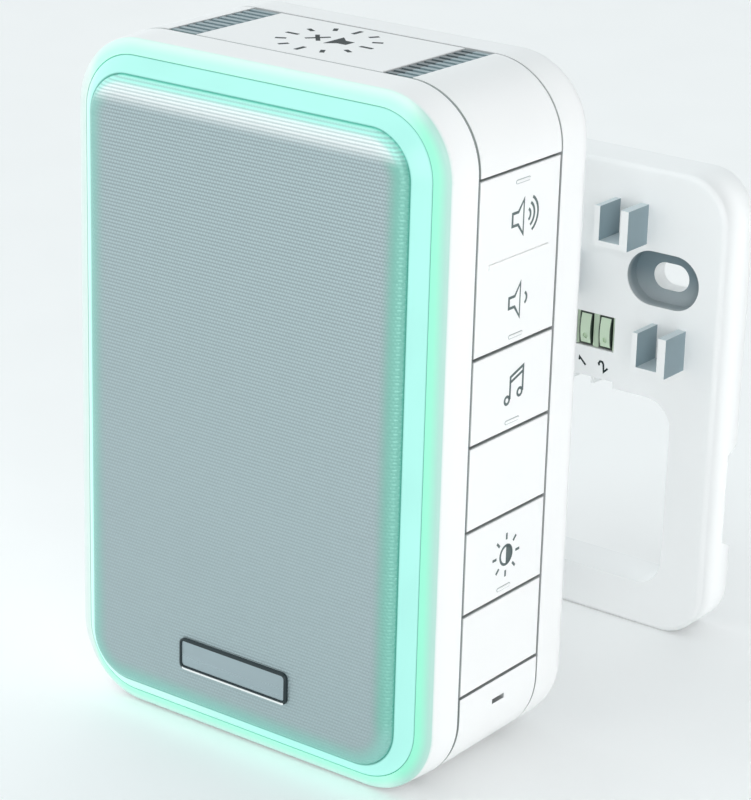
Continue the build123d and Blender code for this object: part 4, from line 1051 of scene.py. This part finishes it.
# %% [markdown]
# ## Printed signs
# A sign is drawn as flat bands along its lines, in the face's own two directions, and then raised by
# a hair so that it reads as a layer of ink. Each sign rides on the key that carries it. Places are in
# millimetres: back from the front seam and up for the side, across and back for the top.

# %% Draw bands and fields
INK_RISE = 0.02
INK_SINK = 0.02
LINE = 0.45
SPOKE_LINE = 0.78
CROSS_LINE = 0.72
NUMBER_LINE = 0.38
FRONT_SEAM = -11.0
side_x = key_high.x / MM
top_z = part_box("top_button")[1].z / MM


def on_side(u, v, rise):
    """A place on the side: back from the seam, up from the floor."""
    return Vector((side_x + rise, FRONT_SEAM + u, v)) * MM


def on_top(u, v, rise):
    """A place on the top: across, back from the seam."""
    return Vector((u, FRONT_SEAM + v, top_z + rise)) * MM


def on_plate(u, v, rise):
    """A place on the front of the wall plate: across, up from the floor."""
    return Vector((u, plate_face / MM - rise, v)) * MM


def draw_field(work, corners, place):
    """A flat raised field, from its corners in order."""
    loft(work, [[place(u, v, level) for u, v in corners] for level in (-INK_SINK, INK_RISE)])


def band_corners(points, width, closed):
    """The two sides of a band along a line of points, with mitred corners."""
    points = [Vector(p) for p in points]
    count = len(points)
    sides = []
    for i, point in enumerate(points):
        before = point - points[i - 1] if i > 0 or closed else None
        after = points[(i + 1) % count] - point if i < count - 1 or closed else None
        first = (before or after).normalized()
        second = (after or before).normalized()
        mean = (first + second).normalized()
        normal = Vector((-mean.y, mean.x))
        reach = width / 2 / max(normal.dot(Vector((-first.y, first.x))), 0.5)
        sides.append((point + normal * reach, point - normal * reach))
    return sides


def draw_line(work, points, place, width=LINE, closed=False):
    """A raised band along a line of points."""
    sections = []
    for left, right in band_corners(points, width, closed):
        sections.append([place(*left, INK_RISE), place(*right, INK_RISE),
                         place(*right, -INK_SINK), place(*left, -INK_SINK)])
    loft(work, sections, closed)


def arc(centre, radius, start, end, steps=12):
    """Points on a circle between two angles in degrees."""
    angles = [radians(start + (end - start) * i / steps) for i in range(steps + 1)]
    return [(centre[0] + radius * cos(a), centre[1] + radius * sin(a)) for a in angles]


def full_circle(centre, radius, steps=28):
    """Points all round a circle, with none of them twice."""
    return arc(centre, radius, 0, 360, steps)[:-1]


# %% Print the signs of the volume key
work = bmesh.new()
for middle, box_half, cone_half in ((93.9, 1.0, 2.75), (80.65, 0.85, 2.75)):
    speaker = [(9.05, middle + box_half), (10.6, middle + box_half), (12.05, middle + cone_half),
               (12.05, middle - cone_half), (10.6, middle - box_half), (9.05, middle - box_half)]
    draw_line(work, speaker, on_side, closed=True)
for radius in (1.0, 2.05, 3.05):
    draw_line(work, arc((12.9, 93.95), radius, -60, 60), on_side)
draw_line(work, arc((12.85, 80.65), 1.0, -60, 60), on_side)
finish_piece("volume_signs", work, ink, "volume_rocker", False)

# %% Print the note and the dial
work = bmesh.new()
draw_line(work, [(10.45, 64.7), (10.45, 68.35), (13.9, 69.5), (13.9, 65.3)], on_side)
draw_line(work, [(10.45, 67.45), (13.9, 68.6)], on_side)
for head in ((9.67, 64.7), (13.12, 65.3)):
    draw_line(work, full_circle(head, 0.62), on_side, closed=True)
finish_piece("melody_sign", work, ink, "melody_button", False)

work = bmesh.new()
dial = (11.4, 38.2)
draw_line(work, full_circle(dial, 1.62), on_side, closed=True)
draw_field(work, arc(dial, 1.55, -90, 90), on_side)
for i in range(8):
    angle = radians(45 * i)
    ray = [(dial[0] + r * cos(angle), dial[1] + r * sin(angle)) for r in (2.65, 3.75)]
    draw_line(work, ray, on_side)
finish_piece("light_sign", work, ink, "light_button", False)

# %% Print the sign on the top key
work = bmesh.new()
hub = (-0.35, 11.2)
for i in range(12):
    angle = radians(30 * i)
    start = 6.1 if i % 3 == 0 else 6.8
    ray = [(hub[0] + r * cos(angle), hub[1] + r * sin(angle)) for r in (start, 8.55)]
    draw_line(work, ray, on_top, SPOKE_LINE)
draw_line(work, [(-4.1, 9.85), (-1.5, 13.1)], on_top, CROSS_LINE)
draw_line(work, [(-4.1, 13.05), (-2.95, 11.6)], on_top, CROSS_LINE)
draw_line(work, [(-2.6, 11.2), (-1.45, 9.8)], on_top, CROSS_LINE)
muted = [(0.15, 9.0), (1.8, 10.45), (3.5, 10.45), (3.5, 12.75), (1.8, 12.75), (0.15, 14.4)]
draw_field(work, muted, on_top)
finish_piece("top_sign", work, dark_ink, "top_button", False)


# %% [markdown]
# ## Raised marks
# The keys carry low marks that a finger can feel. Each is a short domed bar with round ends. A flat
# band round its foot carries painted shade, which makes it show as a grey outline.


# %% Raise the finger marks
def raised_mark(work, start, end, width, place, rise):
    """A low domed bar with round ends, with painted shade at its foot as a second finish."""
    start = Vector(start)
    end = Vector(end)
    along = (end - start).normalized()
    turn_angle = atan2(along.y, along.x) * 180 / pi
    rings = []
    for share, height in ((1.0, -0.05), (1.0, 0.03), (0.66, 0.05), (0.55, rise * 0.8), (0.3, rise)):
        radius = width / 2 * share
        outline = arc(end, radius, turn_angle - 90, turn_angle + 90, 8)
        outline += arc(start, radius, turn_angle + 90, turn_angle + 270, 8)
        rings.append([place(u, v, height) for u, v in outline])
    bands = loft(work, rings)
    # The wall and the flat band at the foot take the painted shade.
    for face in bands[0] + bands[1]:
        face.material_index = 1


MARK_RISE = 0.16
MARK_WIDTH = 0.7
marks = (("volume_marks", "volume_rocker",
          [((9.9, 99.75), (13.1, 99.75)), ((9.6, 75.1), (12.8, 75.1))]),
         ("melody_mark", "melody_button", [((9.7, 61.0), (12.9, 61.0))]),
         ("light_mark", "light_button", [((9.5, 32.7), (12.6, 32.7))]))
for name, body, lines in marks:
    work = bmesh.new()
    for start, end in lines:
        raised_mark(work, start, end, MARK_WIDTH, on_side, MARK_RISE)
    finish_piece(name, work, finishes["white_case"], body, True, (mark_shade_material,))

# %% [markdown]
# ## Terminal numbers
# Plain numbers tell the two terminals apart. They are printed on a slant below the levers, so that
# they read well with a wire in each hole.

# %% Print the terminal numbers
SLANT = radians(45)
ONE = [(-0.35, 0.55), (0.1, 0.95), (0.1, -0.95)]
TWO = [(-0.5, 0.5), (-0.3, 0.85), (0.2, 0.95), (0.5, 0.6), (0.35, 0.1), (-0.55, -0.95), (0.6, -0.95)]
work = bmesh.new()
for u, v, stroke in ((9.5, 47.6, ONE), (13.8, 47.6, TWO)):
    turned = [(u + a * cos(SLANT) - b * sin(SLANT), v + a * sin(SLANT) + b * cos(SLANT))
              for a, b in stroke]
    draw_line(work, turned, on_plate, NUMBER_LINE)
finish_piece("terminal_numbers", work, dark_ink, "wall_plate", False)
